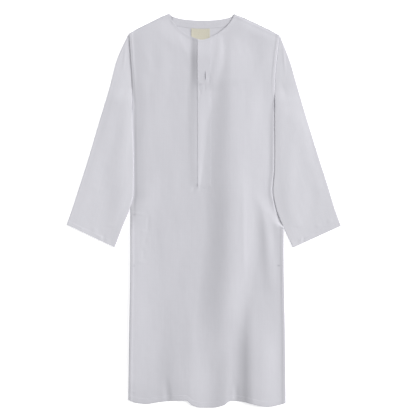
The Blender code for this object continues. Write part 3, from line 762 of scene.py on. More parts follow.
def under_sleeve(x, y):
    """1 where the sleeves lie on the body's side strips."""
    low = np.where(x < 0, UNDER_RIGHT_SLEEVE[0], UNDER_LEFT_SLEEVE[0])
    full = np.where(x < 0, UNDER_RIGHT_SLEEVE[1], UNDER_LEFT_SLEEVE[1])
    above = (y - UNDER_SLEEVE_TOP[0]) / (UNDER_SLEEVE_TOP[1] - UNDER_SLEEVE_TOP[0])
    return ease((y - low) / (full - low)) * (1.0 - ease(above))


def front_top(x, y):
    """Height of the front panel's upper face."""
    flat = inside_by("flat", x, y)
    side = inside_by("edge", x, y)
    shoulder = np.minimum(
        distance_to_run(x, y, RIGHT_TIP, RIGHT_NECK), distance_to_run(x, y, LEFT_NECK, LEFT_TIP)
    )
    hem = y - front_hem(x)
    neck = distance_to_neck(x, y)
    clear = 1.0 - under_sleeve(x, y)
    held = side_hold(x, y, SIDE_PUFF * clear)
    top = front_form(x, y, SIDE_PUFF * clear) + CLOTH
    top += held * added(FRONT_CREASES, fold_rise, x, y)
    top += held * added(FRONT_TUCKS, tuck_rise, x, y)
    top += ease_in(flat / STILL_RUN) * ease_in(shoulder / STILL_RUN) * undulation(x, y, 11)
    top += fold_rise(RIGHT_SLEEVE_ROLL, x, y) + fold_rise(LEFT_SLEEVE_ROLL, x, y)
    felled = band(side, FELL_WIDTH, FELL_RISE) + SIDE_GROOVE * groove(side, FELL_WIDTH)
    top += clear * felled
    top += clear * pucker(y, side, FELL_WIDTH, 21)
    top += band(shoulder, FELL_WIDTH, FELL_RISE) + groove(shoulder, FELL_WIDTH)
    top += band(hem, HEM_LINES[1], HEM_RISE)
    top -= HEM_SINK * np.clip(1.0 - hem / HEM_SINK_RUN, 0.0, 1.0) ** 2
    for line in HEM_LINES:
        top += groove(hem, line)
    top += pucker(x, hem, HEM_LINES[1], 31)
    top += band(neck, NECK_BAND, NECK_RISE) + groove(neck, NECK_LINE)
    top -= NECK_SINK * ease_in(shoulder / SHOULDER_RUN) * (1.0 - ease(neck / NECK_SINK_RUN))
    roll = round_over(np.minimum(side, shoulder) / (EDGE_ROLL - SIDE_TIGHTEN * clear))
    top = EDGE_LOW + (top - EDGE_LOW) * roll
    free_edge = np.minimum(hem, neck)
    return top - edge_drop(free_edge, FREE_EDGE_DROP, FREE_EDGE_ROLL)


def spread(anchors, splits):
    """Stations between anchors, each stretch split at its own fractions."""
    stations = [anchors[0]]
    for start, end, split in zip(anchors[:-1], anchors[1:], splits):
        stations += [start + (end - start) * t for t in split]
    return stations


def even(count):
    return tuple((i + 1) / count for i in range(count))


def inward(fractions):
    """The same fractions, measured from the other end."""
    return tuple(1.0 - t for t in fractions[-2::-1]) + (1.0,)


def levels_between(low, high, step, near_low=(), near_high=()):
    """Rising levels, close together near either end."""
    start = low + (near_low[-1] if near_low else 0.0)
    end = high - (near_high[-1] if near_high else 0.0)
    middle = np.linspace(start, end, max(2, int(round((end - start) / step)) + 1))
    below = [low + t for t in near_low[:-1]]
    above = [high - t for t in near_high[-2::-1]]
    return below + list(middle) + above


def panel_plan(levels, anchors_at, splits, hem, top):
    """Plan of a body panel: rows that follow the hem below and the top edge above."""
    low, high = levels[0], levels[-1]
    hem_offset = hem(np.array(spread(anchors_at(low, low), splits))) - low
    top_offset = top(np.array(spread(anchors_at(RIGHT_TIP[1], LEFT_TIP[1]), splits))) - high
    rows = []
    for level in levels:
        near_hem = 1.0 - ease((level - low) / HEM_RUN)
        near_top = ease((level - NECK_RUN_FROM) / (high - NECK_RUN_FROM))
        y = level + hem_offset * near_hem + top_offset * near_top
        x = np.array(spread(anchors_at(y[0], y[-1]), splits))
        rows.append(np.column_stack([x, y]))
    return np.array(rows)


def grid_normals(points, closed=False):
    """Unit normals of a grid of points."""
    if closed:
        across = np.roll(points, -1, axis=1) - np.roll(points, 1, axis=1)
    else:
        across = np.gradient(points, axis=1)
    normal = np.cross(across, np.gradient(points, axis=0))
    return normal / np.maximum(np.linalg.norm(normal, axis=2, keepdims=True), 1e-12)


def cloth_shell(name, top, wall, finish, keep=None, closed=False, uv=None):
    """A named closed shell: the grid "top", its inner face a wall away, and its rims."""
    rows, columns = top.shape[:2]
    inner = top - grid_normals(top, closed) * wall
    index = np.arange(rows * columns).reshape(rows, columns)
    after = np.roll(index, -1, axis=1)
    wide = columns if closed else columns - 1
    cells = np.stack([index[:-1, :wide], after[:-1, :wide], after[1:, :wide], index[1:, :wide]], axis=-1)
    quads = cells.reshape(-1, 4) if keep is None else cells[keep]
    count = rows * columns
    starts, ends = quads.ravel(), np.roll(quads, -1, axis=1).ravel()
    rim = ~np.isin(starts * count + ends, ends * count + starts)
    starts, ends = starts[rim], ends[rim]
    rims = np.column_stack([ends, starts, starts + count, ends + count])
    faces = np.concatenate([quads, quads[:, ::-1] + count, rims])
    used, faces = np.unique(faces, return_inverse=True)
    faces = faces.reshape(-1, 4)
    points = np.concatenate([top.reshape(-1, 3), inner.reshape(-1, 3)])[used]
    place = top[..., :2] if uv is None else uv
    place = np.concatenate([place.reshape(-1, 2)] * 2)[used]
    mesh = bpy.data.meshes.new(name)
    mesh.from_pydata(points.tolist(), [], faces.tolist())
    mesh.uv_layers.new(name="cloth").data.foreach_set("uv", place[faces.ravel()].ravel())
    mesh.materials.append(finish)
    mesh.shade_smooth()
    mesh.set_sharp_from_angle(angle=math.radians(60))
    piece = bpy.data.objects.new(name, mesh)
    bpy.context.scene.collection.objects.link(piece)
    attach(piece, BODY)
    return piece


def add_node(tree, kind, settings, sockets):
    """A node: its settings first, then the values or links of its sockets."""
    node = tree.nodes.new(kind)
    for key, value in (settings or {}).items():
        setattr(node, key, value)
    for key, value in (sockets or {}).items():
        if isinstance(value, bpy.types.NodeSocket):
            tree.links.new(value, node.inputs[key])
        else:
            node.inputs[key].default_value = value
    return node


class Value:
    """A shader socket on which Python's operators work by adding Math nodes."""

    def __init__(self, finish, socket):
        self.finish = finish
        self.socket = socket

    def __add__(self, other):
        return self.finish.maths("ADD", self, other)

    def __sub__(self, other):
        return self.finish.maths("SUBTRACT", self, other)

    def __rsub__(self, other):
        return self.finish.maths("SUBTRACT", other, self)

    def __mul__(self, other):
        return self.finish.maths("MULTIPLY", self, other)

    __radd__ = __add__
    __rmul__ = __mul__

    def sin(self):
        return self.finish.maths("SINE", self)


class Finish:
    """One material under construction."""

    def __init__(self, name):
        self.material = bpy.data.materials.new(name)
        self.material.use_nodes = True
        self.tree = self.material.node_tree
        self.tree.nodes.clear()

    def add(self, kind, settings=None, sockets=None, out=0):
        given = {}
        for key, value in (sockets or {}).items():
            given[key] = value.socket if isinstance(value, Value) else value
        node = add_node(self.tree, kind, settings, given)
        return Value(self, node.outputs[out]) if len(node.outputs) else None

    def maths(self, operation, *values):
        return self.add("ShaderNodeMath", {"operation": operation}, dict(enumerate(values)))

    def split(self, vector):
        """The first two parts of a vector, as numbers."""
        parts = self.add("ShaderNodeSeparateXYZ", sockets={"Vector": vector}).socket.node
        return Value(self, parts.outputs[0]), Value(self, parts.outputs[1])

    def join(self, x, y, z=0.0):
        return self.add("ShaderNodeCombineXYZ", sockets={0: x, 1: y, 2: z})

    def noise(self, vector, scale, detail=2.0, roughness=0.5):
        return self.add(
            "ShaderNodeTexNoise",
            sockets={"Vector": vector, "Scale": scale, "Detail": detail, "Roughness": roughness},
        )

    def blend(self, factor, dark, light):
        """A colour between two colours."""
        return self.add(
            "ShaderNodeMix",
            {"data_type": "RGBA", "clamp_factor": True},
            {0: factor, 6: (*dark, 1.0), 7: (*light, 1.0)},
            out=2,
        )

    def bump(self, height, distance, strength=1.0, normal=None):
        sockets = {"Height": height, "Distance": distance, "Strength": strength}
        if normal is not None:
            sockets["Normal"] = normal
        return self.add("ShaderNodeBump", sockets=sockets)

    def done(self, **sockets):
        """Finish with a Principled shader whose sockets are named in plain form."""
        named = {key.replace("_", " "): value for key, value in sockets.items()}
        shader = self.add("ShaderNodeBsdfPrincipled", sockets=named)
        self.add("ShaderNodeOutputMaterial", sockets={"Surface": shader})
        return self.material


def woven_finish(name, dark, light, yarn=0.0005, sheen=0.12):
    """Fine plain-woven cloth: yarns over and under each other, slubs and soft shade."""
    finish = Finish(name)
    place = finish.add("ShaderNodeTexCoord", out=2)
    across, along = finish.split(place)
    warp = (across * (math.pi / yarn)).sin()
    weft = (along * (math.pi / yarn)).sin()
    weave = warp * weft * 0.5 + 0.5
    warp_slub = finish.noise(finish.join(across * 420.0, along * 7.0), 1.0, 3.0, 0.6)
    weft_slub = finish.noise(finish.join(across * 9.0, along * 520.0), 1.0, 2.0, 0.6)
    cloud = finish.noise(place, 9.0, 2.0)
    crinkle = finish.noise(finish.join(across * 70.0, along * 42.0), 1.0, 3.0, 0.55)
    shade = warp_slub * 0.55 + weft_slub * 0.25 + cloud * 0.35 + weave * 0.10 - 0.12
    yarns = finish.bump(weave, 0.00006, 0.55)
    slubs = finish.bump(warp_slub + weft_slub, 0.00005, 0.5, yarns)
    return finish.done(
        Base_Color=finish.blend(shade, dark, light),
        Roughness=0.62 + crinkle * 0.12,
        Normal=finish.bump(crinkle, 0.00030, 0.5, slubs),
        Sheen_Weight=sheen,
        Sheen_Roughness=0.45,
    )


def label_finish():
    """Cream woven tape with fine ribs across it."""
    finish = Finish("cream woven tape")
    place = finish.add("ShaderNodeTexCoord", out=2)
    across, along = finish.split(place)
    ribs = (along * (2 * math.pi / 0.0009)).sin() * 0.5 + 0.5
    grain = finish.noise(finish.join(across * 300.0, along * 60.0), 1.0, 3.0)
    return finish.done(
        Base_Color=finish.blend(ribs * 0.35 + grain * 0.6, (0.56, 0.53, 0.42), (0.72, 0.69, 0.58)),
        Roughness=0.66 + grain * 0.1,
        Normal=finish.bump(ribs + grain, 0.00010, 0.6),
    )


def thread_finish():
    """Twisted white sewing thread."""
    finish = Finish("sewing thread")
    place = finish.add("ShaderNodeTexCoord", out=3)
    across, along = finish.split(place)
    twist = ((across + along) * (2 * math.pi / 0.0007)).sin() * 0.5 + 0.5
    return finish.done(
        Base_Color=finish.blend(twist, (0.60, 0.60, 0.64), (0.74, 0.74, 0.78)),
        Roughness=0.55,
        Normal=finish.bump(twist, 0.00005, 0.4),
    )


def button_finish():
    """Polished off-white resin with a faint pearl cloud."""
    finish = Finish("button resin")
    place = finish.add("ShaderNodeTexCoord", out=3)
    cloud = finish.noise(place, 260.0, 3.0)
    return finish.done(
        Base_Color=finish.blend(cloud, (0.60, 0.59, 0.56), (0.80, 0.79, 0.76)),
        Roughness=0.18 + cloud * 0.1,
        Coat_Weight=0.3,
    )


def floor_finish():
    """A plain pale floor."""
    finish = Finish("pale floor")
    cloud = finish.noise(finish.add("ShaderNodeTexCoord", out=3), 2.0)
    return finish.done(
        Base_Color=finish.blend(cloud, (0.94, 0.94, 0.945), (0.96, 0.96, 0.965)),
        Roughness=0.9,
        Emission_Color=(1.0, 1.0, 1.0, 1.0),
        Emission_Strength=0.50,
    )


class Recipe:
    """A Geometry Nodes tree under construction, with named inputs."""

    def __init__(self, name, inputs):
        self.tree = bpy.data.node_groups.new(name, "GeometryNodeTree")
        sockets = self.tree.interface
        sockets.new_socket("Geometry", in_out="INPUT", socket_type="NodeSocketGeometry")
        self.identifiers = {}
        for label, kind in inputs:
            made = sockets.new_socket(label, in_out="INPUT", socket_type=kind)
            self.identifiers[label] = made.identifier
        sockets.new_socket("Geometry", in_out="OUTPUT", socket_type="NodeSocketGeometry")
        self.given = self.tree.nodes.new("NodeGroupInput")

    def add(self, kind, settings=None, sockets=None, out=0):
        return add_node(self.tree, kind, settings, sockets).outputs[out]

    def finish(self, geometry):
        end = self.tree.nodes.new("NodeGroupOutput")
        self.tree.links.new(geometry, end.inputs["Geometry"])


def sewn_line_tree():
    """The stitching tree: resample a path, and lay a stitch along it at each point."""
    sizes = ("Pitch", "Stitch Length", "Thread", "Turn", "Wander")
    inputs = [(label, "NodeSocketFloat") for label in sizes]
    inputs += [("Seed", "NodeSocketInt"), ("Material", "NodeSocketMaterial")]
    recipe = Recipe("run of stitches", inputs)
    add, given = recipe.add, recipe.given.outputs
    # where the stitches stand: every pitch along the path, a little astray
    path = add("GeometryNodeMeshToCurve", sockets={"Mesh": given["Geometry"]})
    pitch = {"Curve": path, "Length": given["Pitch"]}
    path = add("GeometryNodeResampleCurve", {"mode": "LENGTH"}, pitch)
    tangent = add("GeometryNodeInputTangent")
    wander = add("ShaderNodeCombineXYZ", sockets={0: given["Wander"], 1: given["Wander"]})
    astray = add("ShaderNodeVectorMath", {"operation": "SCALE"}, {0: wander, "Scale": -1.0})
    reach = {"Min": astray, "Max": wander, "Seed": given["Seed"]}
    jitter = add("FunctionNodeRandomValue", {"data_type": "FLOAT_VECTOR"}, reach)
    path = add("GeometryNodeSetPosition", sockets={"Geometry": path, "Offset": jitter})
    # how each one points: along the path, then turned
    aim = add("FunctionNodeAlignRotationToVector", {"axis": "X"}, {"Vector": tangent})
    turn = add("ShaderNodeCombineXYZ", sockets={"Z": given["Turn"]})
    turn = add("FunctionNodeEulerToRotation", sockets={"Euler": turn})
    turned = {"Rotation": aim, "Rotate By": turn}
    aim = add("FunctionNodeRotateRotation", {"rotation_space": "LOCAL"}, turned)
    # the stitch itself, each a little longer or shorter
    stitch = add("GeometryNodeMeshUVSphere", sockets={"Segments": 6, "Rings": 4, "Radius": 0.5})
    size = {0: given["Stitch Length"], 1: given["Thread"], 2: given["Thread"]}
    size = add("ShaderNodeCombineXYZ", sockets=size)
    vary = {2: 0.88, 3: 1.06, "Seed": given["Seed"]}
    vary = add("FunctionNodeRandomValue", {"data_type": "FLOAT"}, vary, out=1)
    size = add("ShaderNodeVectorMath", {"operation": "SCALE"}, {0: size, "Scale": vary})
    laid = {"Points": path, "Instance": stitch, "Rotation": aim, "Scale": size}
    laid = add("GeometryNodeInstanceOnPoints", sockets=laid)
    made = add("GeometryNodeRealizeInstances", sockets={"Geometry": laid})
    made = add("GeometryNodeSetShadeSmooth", sockets={"Geometry": made})
    finish = {"Geometry": made, "Material": given["Material"]}
    recipe.finish(add("GeometryNodeSetMaterial", sockets=finish))
    return recipe


def sew(name, paths, turn=0.0, pitch=STITCH + STITCH_GAP, length=STITCH, seed=1):
    """Run the stitching tree along 3-D paths, and keep the result as a plain object."""
    mesh = bpy.data.meshes.new(name + " path")
    points, edges = [], []
    for path in paths:
        first = len(points)
        points += [tuple(point) for point in path]
        edges += [(i, i + 1) for i in range(first, len(points) - 1)]
    mesh.from_pydata(points, edges, [])
    guide = bpy.data.objects.new(name + " path", mesh)
    bpy.context.scene.collection.objects.link(guide)
    stitches = guide.modifiers.new("stitches", "NODES")
    stitches.node_group = SEWING.tree
    values = {
        "Pitch": pitch,
        "Stitch Length": length,
        "Thread": THREAD,
        "Turn": turn,
        "Wander": STITCH_WANDER,
        "Seed": seed,
        "Material": THREAD_FINISH,
    }
    for label, value in values.items():
        stitches[SEWING.identifiers[label]] = value
    bpy.context.view_layer.update()
    ready = guide.evaluated_get(bpy.context.evaluated_depsgraph_get())
    made = bpy.data.meshes.new_from_object(ready)
    bpy.data.objects.remove(guide, do_unlink=True)
    made.name = name
    piece = bpy.data.objects.new(name, made)
    bpy.context.scene.collection.objects.link(piece)
    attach(piece, BODY)
    return piece


def tack(start, end, surface):
    """The path of a bar tack."""
    return on_top(straight(start, end, 0.0005), surface, TACK_PROUD)


def on_top(path, surface, proud=STITCH_PROUD):
    """A plan path lifted onto a surface."""
    path = np.asarray(path, float)
    return np.column_stack([path, surface(path[:, 0], path[:, 1]) + proud])


def straight(start, end, step=0.003):
    count = max(2, int(math.dist(start, end) / step) + 1)
    return np.column_stack([np.linspace(a, b, count) for a, b in zip(start, end)])


def offset_path(path, inward):
    """A plan path moved sideways, to the right of its direction."""
    along = np.gradient(path, axis=0)
    along = along / np.linalg.norm(along, axis=1, keepdims=True)
    return path + inward * np.column_stack([along[:, 1], -along[:, 0]])


def cover(piece, nodes):
    """Hide the CAD nodes that a piece takes the place of, and give back the piece."""
    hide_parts(*nodes)
    return piece


ROBE_FINISH = woven_finish("white woven cloth", (0.585, 0.580, 0.622), (0.680, 0.674, 0.716))
# The sleeves take a copy of the robe's cloth painted lighter than the body's: painted light, standing in
# for the brighter light on the sleeves.
SLEEVE_PAINTED_LIGHT_FINISH = woven_finish("white woven cloth, sleeves", (0.625, 0.620, 0.662), (0.722, 0.716, 0.758))
POCKET_FINISH = woven_finish("pocket cloth", (0.54, 0.53, 0.57), (0.64, 0.63, 0.67), yarn=0.0006)
LABEL_FINISH = label_finish()
THREAD_FINISH = thread_finish()
SEWING = sewn_line_tree()
TACK = {"turn": math.pi / 2, "pitch": 0.0006, "length": 0.0022, "seed": 17}
WHIP = {"turn": math.pi / 2, "pitch": 0.0007, "length": 0.0020, "seed": 7}


def side_x(edge_name, y):
    """X of one of the body's outlines at one level."""
    return float(body_line(edge_name, y))


def front_anchors(right_y, left_y):
    """Where the front's columns stand in a row, from its level at either edge."""
    return (
        side_x("right_edge", right_y),
        side_x("right_flat", right_y),
        RIGHT_NECK[0],
        PLACKET_FREE_EDGE,
        SLOT_RIGHT,
        SLOT_LEFT,
        PLACKET_STITCHED_EDGE,
        LEFT_NECK[0],
        side_x("left_flat", left_y),
        side_x("left_edge", left_y),
    )


def back_anchors(right_y, left_y):
    """Where the back's columns stand in a row, just inside the front's edges."""
    return (
        side_x("right_edge", right_y) + WALL + SEAM_GAP,
        RIGHT_NECK[0],
        LEFT_NECK[0],
        side_x("left_edge", left_y) - WALL - SEAM_GAP,
    )


def rows_between(x, low, high, shares):
    """Plan rows over the stations x, at shares of the way from a low line to a high one."""
    return [np.column_stack([x, low + (high - low) * t]) for t in shares]


def whole(plan):
    """Every cell of a grid, to be kept or cut out."""
    return np.ones((plan.shape[0] - 1, plan.shape[1] - 1), bool)


def make_front_panel():
    """The swollen front, cut through along its opening."""
    right_splits = (OUTWARD, even(27), even(25), even(3))
    splits = (*right_splits, even(6), even(3), even(20), even(30), inward(OUTWARD))
    levels = levels_between(HEM_LEVEL, SLOT_END, BODY_STEP, near_low=NEAR_HEM)
    slot_row = len(levels) - 1
    levels += levels_between(SLOT_END, LEFT_TIP[1], BODY_STEP, near_high=NEAR_EDGE)[1:]
    plan = panel_plan(levels, front_anchors, splits, front_hem, front_top_edge)
    x, y = plan[..., 0], plan[..., 1]
    top = np.dstack([plan, front_top(x, y)])
    keep = whole(plan)
    first = sum(len(split) for split in right_splits)
    keep[slot_row:, first : first + len(splits[4])] = False
    piece = cover(cloth_shell("front_cloth", top, WALL, ROBE_FINISH, keep=keep), ["front_panel"])
    sewing = [sew("front_stitching", front_seams(), seed=3), sew("front_tacks", front_tacks(), **TACK)]


def side_run(edge_name, run, count):
    """The plan path of one run of stitching along a side."""
    y = np.linspace(run.low, run.high, count)
    inset = run.inset if edge_name == "right_edge" else -run.inset
    return np.column_stack([body_line(edge_name, y) + inset, y])


def front_seams():
    """Paths of the front's lines of stitching: hem, sides, armholes, shoulders, neckline."""
    paths = []
    x = np.linspace(*HEM_STITCHES, 220)
    for line in HEM_LINES:
        paths.append(np.column_stack([x, front_hem(x) + line]))
    for run in SIDE_RUNS:
        count = int((run.high - run.low) / 0.003)
        paths += [side_run("right_edge", run, count), side_run("left_edge", run, count)]
    paths.append(side_run("right_edge", RIGHT_POCKET_RUN, 15))
    for start, end in ((RIGHT_TIP, RIGHT_NECK), (LEFT_NECK, LEFT_TIP)):
        x = np.linspace(start[0], end[0], 60)[3:-3]
        paths.append(offset_path(np.column_stack([x, shoulder_seam(x, start, end)]), FELL_LINE))
    turn = np.linspace(math.pi * 0.985, math.pi * 0.015, 120)
    x = NECK_MIDDLE + NECK_HALF * np.cos(turn)
    line = np.column_stack([x, neck_curve(x, FRONT_NECK_DROP, FRONT_NECK_POWER)])
    line = offset_path(line, NECK_LINE)
    for part in (line[:, 0] < PLACKET_FREE_EDGE - 0.002, line[:, 0] > PLACKET_STITCHED_EDGE + 0.001):
        paths.append(line[part])
    return [on_top(path, front_top) for path in paths]


def front_tacks():
    """Bar tacks at the ends of the pocket openings, and a mend near the hem."""
    return [tack(bar.start, bar.end, front_top) for bar in FRONT_BARS]


def make_back_panel():
    """The back, flat on the surface but for a few low folds."""
    splits = (even(18), even(28), even(20))
    levels = levels_between(HEM_LEVEL, LEFT_TIP[1] - WALL, BACK_STEP, near_low=NEAR_HEM)
    plan = panel_plan(levels, back_anchors, splits, back_hem, back_top_edge)
    x, y = plan[..., 0], plan[..., 1]
    inside = inside_by("flat", x, y)
    lift = ease(inside / 0.05) * added(BACK_FOLDS, fold_rise, x, y)
    lift += ease(inside / 0.03) * np.maximum(undulation(x, y, 41), 0.0)
    piece = cloth_shell("back_cloth", np.dstack([plan, WALL + lift]), WALL, ROBE_FINISH)
    cover(piece, ["back_panel"])


def placket_wall(x, y):
    """The over placket's thickness: less at its edges."""
    edge = np.minimum(np.minimum(x - PLACKET_FREE_EDGE, PLACKET_STITCHED_EDGE - x), y - PLACKET_END)
    return PLACKET_THIN + (PLACKET_WALL - PLACKET_THIN) * ease(edge / 0.010)


def placket_top(x, y):
    """Height of the over placket's upper face."""
    across = np.clip((x - PLACKET_FREE_EDGE) / (SLOT_LEFT - PLACKET_FREE_EDGE), 0.0, 1.0)
    gape = PLACKET_GAPE * ease((y - GAPE_FROM) / GAPE_RUN) * (1.0 - across**1.6)
    edge = x - PLACKET_FREE_EDGE
    sewn = np.minimum(PLACKET_STITCHED_EDGE - x, y - PLACKET_END)
    hole = distance_to_run(x, y, (SLIT_X[0] + 0.0004, SLIT_Y[0]), (SLIT_X[0] + 0.0004, SLIT_Y[1]))
    top = front_top(np.maximum(x, PLACKET_LEVEL_TO), y) + PLACKET_LIFT + placket_wall(x, y) + gape
    top += soft_line(edge, LIP_RISE, LIP_WIDTH) + groove(sewn, PLACKET_LINE)
    top += soft_line(hole - 0.002, 0.00018, 0.0013) + 0.5 * pucker(y, edge, 0.002, 51)
    rim = np.minimum(np.minimum(edge, sewn), front_top_edge(x) - y)
    return top - edge_drop(rim, placket_wall(x, y) * 0.55, FREE_EDGE_ROLL)


def make_over_placket():
    """Lies over the front's slot, with a buttonhole cut through it."""
    near_right = (0.015, 0.04, 0.08, 0.13) + tuple(0.13 + 0.87 * t for t in even(11))
    near_left = tuple(0.85 * t for t in even(9)) + (0.91, 0.95, 0.98, 1.0)
    anchors = (PLACKET_FREE_EDGE, *SLIT_X, PLACKET_STITCHED_EDGE)
    stations = np.array(spread(anchors, (near_right, even(1), near_left)))
    low = np.array(spread((PLACKET_END, SLIT_Y[0]), (even(120),)))
    levels = np.concatenate([low, spread(SLIT_Y, (even(10),))[1:]])
    rows = [np.column_stack([stations, np.full_like(stations, level)]) for level in levels]
    edge = front_top_edge(stations)
    plan = np.array(rows + rows_between(stations, SLIT_Y[1], edge, even(40)))
    keep = whole(plan)
    keep[len(low) - 1 : len(levels) - 1, len(near_right)] = False
    top = np.dstack([plan, placket_top(plan[..., 0], plan[..., 1])])
    wall = placket_wall(plan[..., 0], plan[..., 1])[..., None]
    piece = cloth_shell("over_placket_cloth", top, wall, ROBE_FINISH, keep=keep)
    cover(piece, ["placket_over"])
    sewing = placket_sewing()


def placket_sewing():
    """The placket's edge stitching, its whip-stitched buttonhole and its bar tack."""
    sewn = PLACKET_STITCHED_EDGE - PLACKET_LINE
    free = PLACKET_FREE_EDGE + PLACKET_LINE
    low = PLACKET_END + PLACKET_LINE
    lines = (
        straight((sewn, low), (sewn, PLACKET_LINE_TOP)),
        straight((free, low), (sewn, low)),
        straight((free, low), (free, PLACKET_LINE_TOP)),
    )
    run = sew("placket_stitching", [on_top(line, placket_top) for line in lines], seed=5)
    turns = np.linspace(0, 2 * math.pi, 80)
    reach = 0.5 * (SLIT_Y[1] - SLIT_Y[0])
    x = 0.5 * (SLIT_X[0] + SLIT_X[1]) + SLIT_LIP * np.sin(turns)
    y = SLIT_Y[0] + reach + (reach + SLIT_END_LIP) * np.cos(turns)
    hole = on_top(np.column_stack([x, y]), placket_top, 0.0002)
    whip = sew("buttonhole_stitches", [hole], **WHIP)
    bars = sew("placket_tack", [tack(*PLACKET_TACK, placket_top)], **TACK)
    return [run, whip, bars]


def make_under_placket():
    """The button stand, just below the front and across its slot."""
    stations = np.linspace(UNDER_PLACKET_EDGE, UNDER_PLACKET_REACH, 16)
    edge = front_top_edge(stations) - 0.0006
    plan = np.array(rows_between(stations, PLACKET_END, edge, np.linspace(0, 1, 110)))
    x, y = plan[..., 0], plan[..., 1]
    sag = UNDER_PLACKET_SAG * ease((x - SLOT_RIGHT + 0.004) / 0.004)
    top = np.dstack([plan, front_top(x, y) - WALL - SEAM_GAP - sag])
    piece = cloth_shell("under_placket_cloth", top, WALL, ROBE_FINISH)
    cover(piece, ["placket_under"])


def back_neck(x):
    return neck_curve(x, BACK_NECK_DROP, BACK_NECK_POWER)


def make_neck_facing():
    """The band inside the back neck."""
    half = NECK_HALF * FACING_END
    x = np.linspace(NECK_MIDDLE - half, NECK_MIDDLE + half, 60)
    edge = back_neck(x) - SEAM_GAP
    near = NEAR_EDGE[:4]
    down = np.array(levels_between(0.0, FACING_WIDTH, 0.0025, near_low=near, near_high=near))[::-1]
    plan = np.array([np.column_stack([x, edge - t]) for t in down])
    distance = np.repeat(down[:, None], len(x), axis=1)
    top = LAYER + 0.0003 - 0.0004 * ease(distance / FACING_WIDTH)
    top += 0.6 * undulation(plan[..., 0], plan[..., 1], 61)
    for line in FACING_LINES[1:]:
        top += groove(distance, line)
    rim = np.minimum(distance, FACING_WIDTH - distance)
    top -= edge_drop(rim, 0.0004, 0.0030)
    piece = cloth_shell("neck_facing_cloth", np.dstack([plan, top]), FINE_WALL, ROBE_FINISH)
    cover(piece, ["neck_facing"])
    rows = [np.argmin(np.abs(down - line)) for line in FACING_LINES]
    paths = [np.column_stack([plan[row], top[row] + STITCH_PROUD]) for row in rows]
    sewing = [sew("facing_stitching", paths, seed=9)]


def label_plan():
    """Plan of the label: its top follows the facing's edge and its foot is straight."""
    wide, tall = LABEL_SIZE
    ends = (LABEL_MIDDLE_X - wide / 2, LABEL_MIDDLE_X + wide / 2)
    below = 2 * SEAM_GAP + FACING_WIDTH
    foot = float(np.mean(back_neck(np.linspace(*ends, 7)))) - below - tall
    x = np.linspace(*ends, 32)
    return np.array(rows_between(x, foot, back_neck(x) - below, np.linspace(0, 1, 24)))


def make_neck_label():
    """A small bare label, sewn to the back panel just under the facing."""
    plan = label_plan()
    x, y = plan[..., 0], plan[..., 1]
    rim = np.minimum(np.minimum(x - x.min(), x.max() - x), y - y.min())
    top = LAYER + 0.0002 + 0.5 * undulation(x, y, 71) + soft_line(rim, 0.0003, 0.003)
    top -= edge_drop(rim, 0.0003, 0.0012)
    piece = cloth_shell("label_tape", np.dstack([plan, top]), FINE_WALL, LABEL_FINISH)
    cover(piece, ["neck_label"])
    grid = np.dstack([plan, top + 0.00005])
    sides = [grid[1:-1, 1], grid[1:-1, -2], grid[1, 1:-1], grid[-2, 1:-1]]
    sewing = [sew("label_stitching", sides, seed=11)]


def make_pocket_bag(name, node, side):
    """A pocket bag with rounded lower corners, flat on the back beside the side seam."""
    middle_y = POCKET_TOP - POCKET_HEIGHT / 2
    edge = side_x(edge_of(side), middle_y) - side * POCKET_INSET
    levels = np.linspace(POCKET_TOP - POCKET_HEIGHT, POCKET_TOP, 50)
    rows = []
    for level in levels:
        above = (level - levels[0]) / POCKET_CORNER
        cut = POCKET_CORNER * (1 - math.sqrt(1 - (1 - min(above, 1.0)) ** 2))
        inner = edge - side * (POCKET_WIDTH - cut)
        x = np.linspace(min(edge, inner), max(edge, inner), 18)
        rows.append(np.column_stack([x, np.full_like(x, level)]))
    plan = np.array(rows)
    x, y = plan[..., 0], plan[..., 1]
    rim = np.minimum(np.minimum(x - x.min(), x.max() - x), y - levels[0])
    top = LAYER + CLOTH + groove(rim, POCKET_SEAM) - edge_drop(rim, 0.0003, 0.002)
    piece = cloth_shell(name, np.dstack([plan, top]), POCKET_WALL, POCKET_FINISH)
    cover(piece, [node])


def sleeve_lines(rings, along):
    """The outer and inner fold lines of a sleeve, at stations from armhole to cuff."""
    stations = np.linspace(0.0, 1.0, len(rings))
    parts = [smooth(stations, column(rings, name), along) for name in Ring._fields]
    return np.column_stack(parts[:2]), np.column_stack(parts[2:])


def sleeve_lift(x, y, side):
    """How far a sleeve's underside is held up where it lies on the body's side strip."""
    edge = body_line(edge_of(side), y)
    on_body = 1.0 - ease((side * (x - edge) - SLEEVE_CLEAR) / SLEEVE_RAMP)
    below_armhole = 1.0 - ease((y - LIFT_FULL_Y) / (LIFT_FROM_Y - LIFT_FULL_Y))
    return SLEEVE_LIFT * on_body * below_armhole


def tube_stations():
    """Round a flattened tube: fraction across, inset and height in radii, and swell."""
    stations = []
    for i in range(FOLD_ARC_STEPS + 1):
        angle = -math.pi / 2 + math.pi * i / FOLD_ARC_STEPS
        stations.append((0.0, 1 - math.cos(angle), 1 + math.sin(angle), 0.0))
    for i in range(1, SLEEVE_ACROSS):
        t = i / SLEEVE_ACROSS
        stations.append((t, 1 - 2 * t, 2.0, math.sin(math.pi * t)))
    for i in range(FOLD_ARC_STEPS + 1):
        angle = math.pi / 2 - math.pi * i / FOLD_ARC_STEPS
        stations.append((1.0, math.cos(angle) - 1, 1 + math.sin(angle), 0.0))
    for i in range(1, SLEEVE_UNDER):
        t = 1 - i / SLEEVE_UNDER
        stations.append((t, 1 - 2 * t, 0.0, 0.0))
    return np.array(stations)


def sleeve_rows():
    """Stations along a sleeve, closer together at the armhole and the cuff."""
    middle = np.linspace(0.014, 1.0 - 0.046, SLEEVE_ROWS)
    return np.concatenate([NEAR_ARMHOLE, middle, 1.0 - np.array(NEAR_CUFF)])


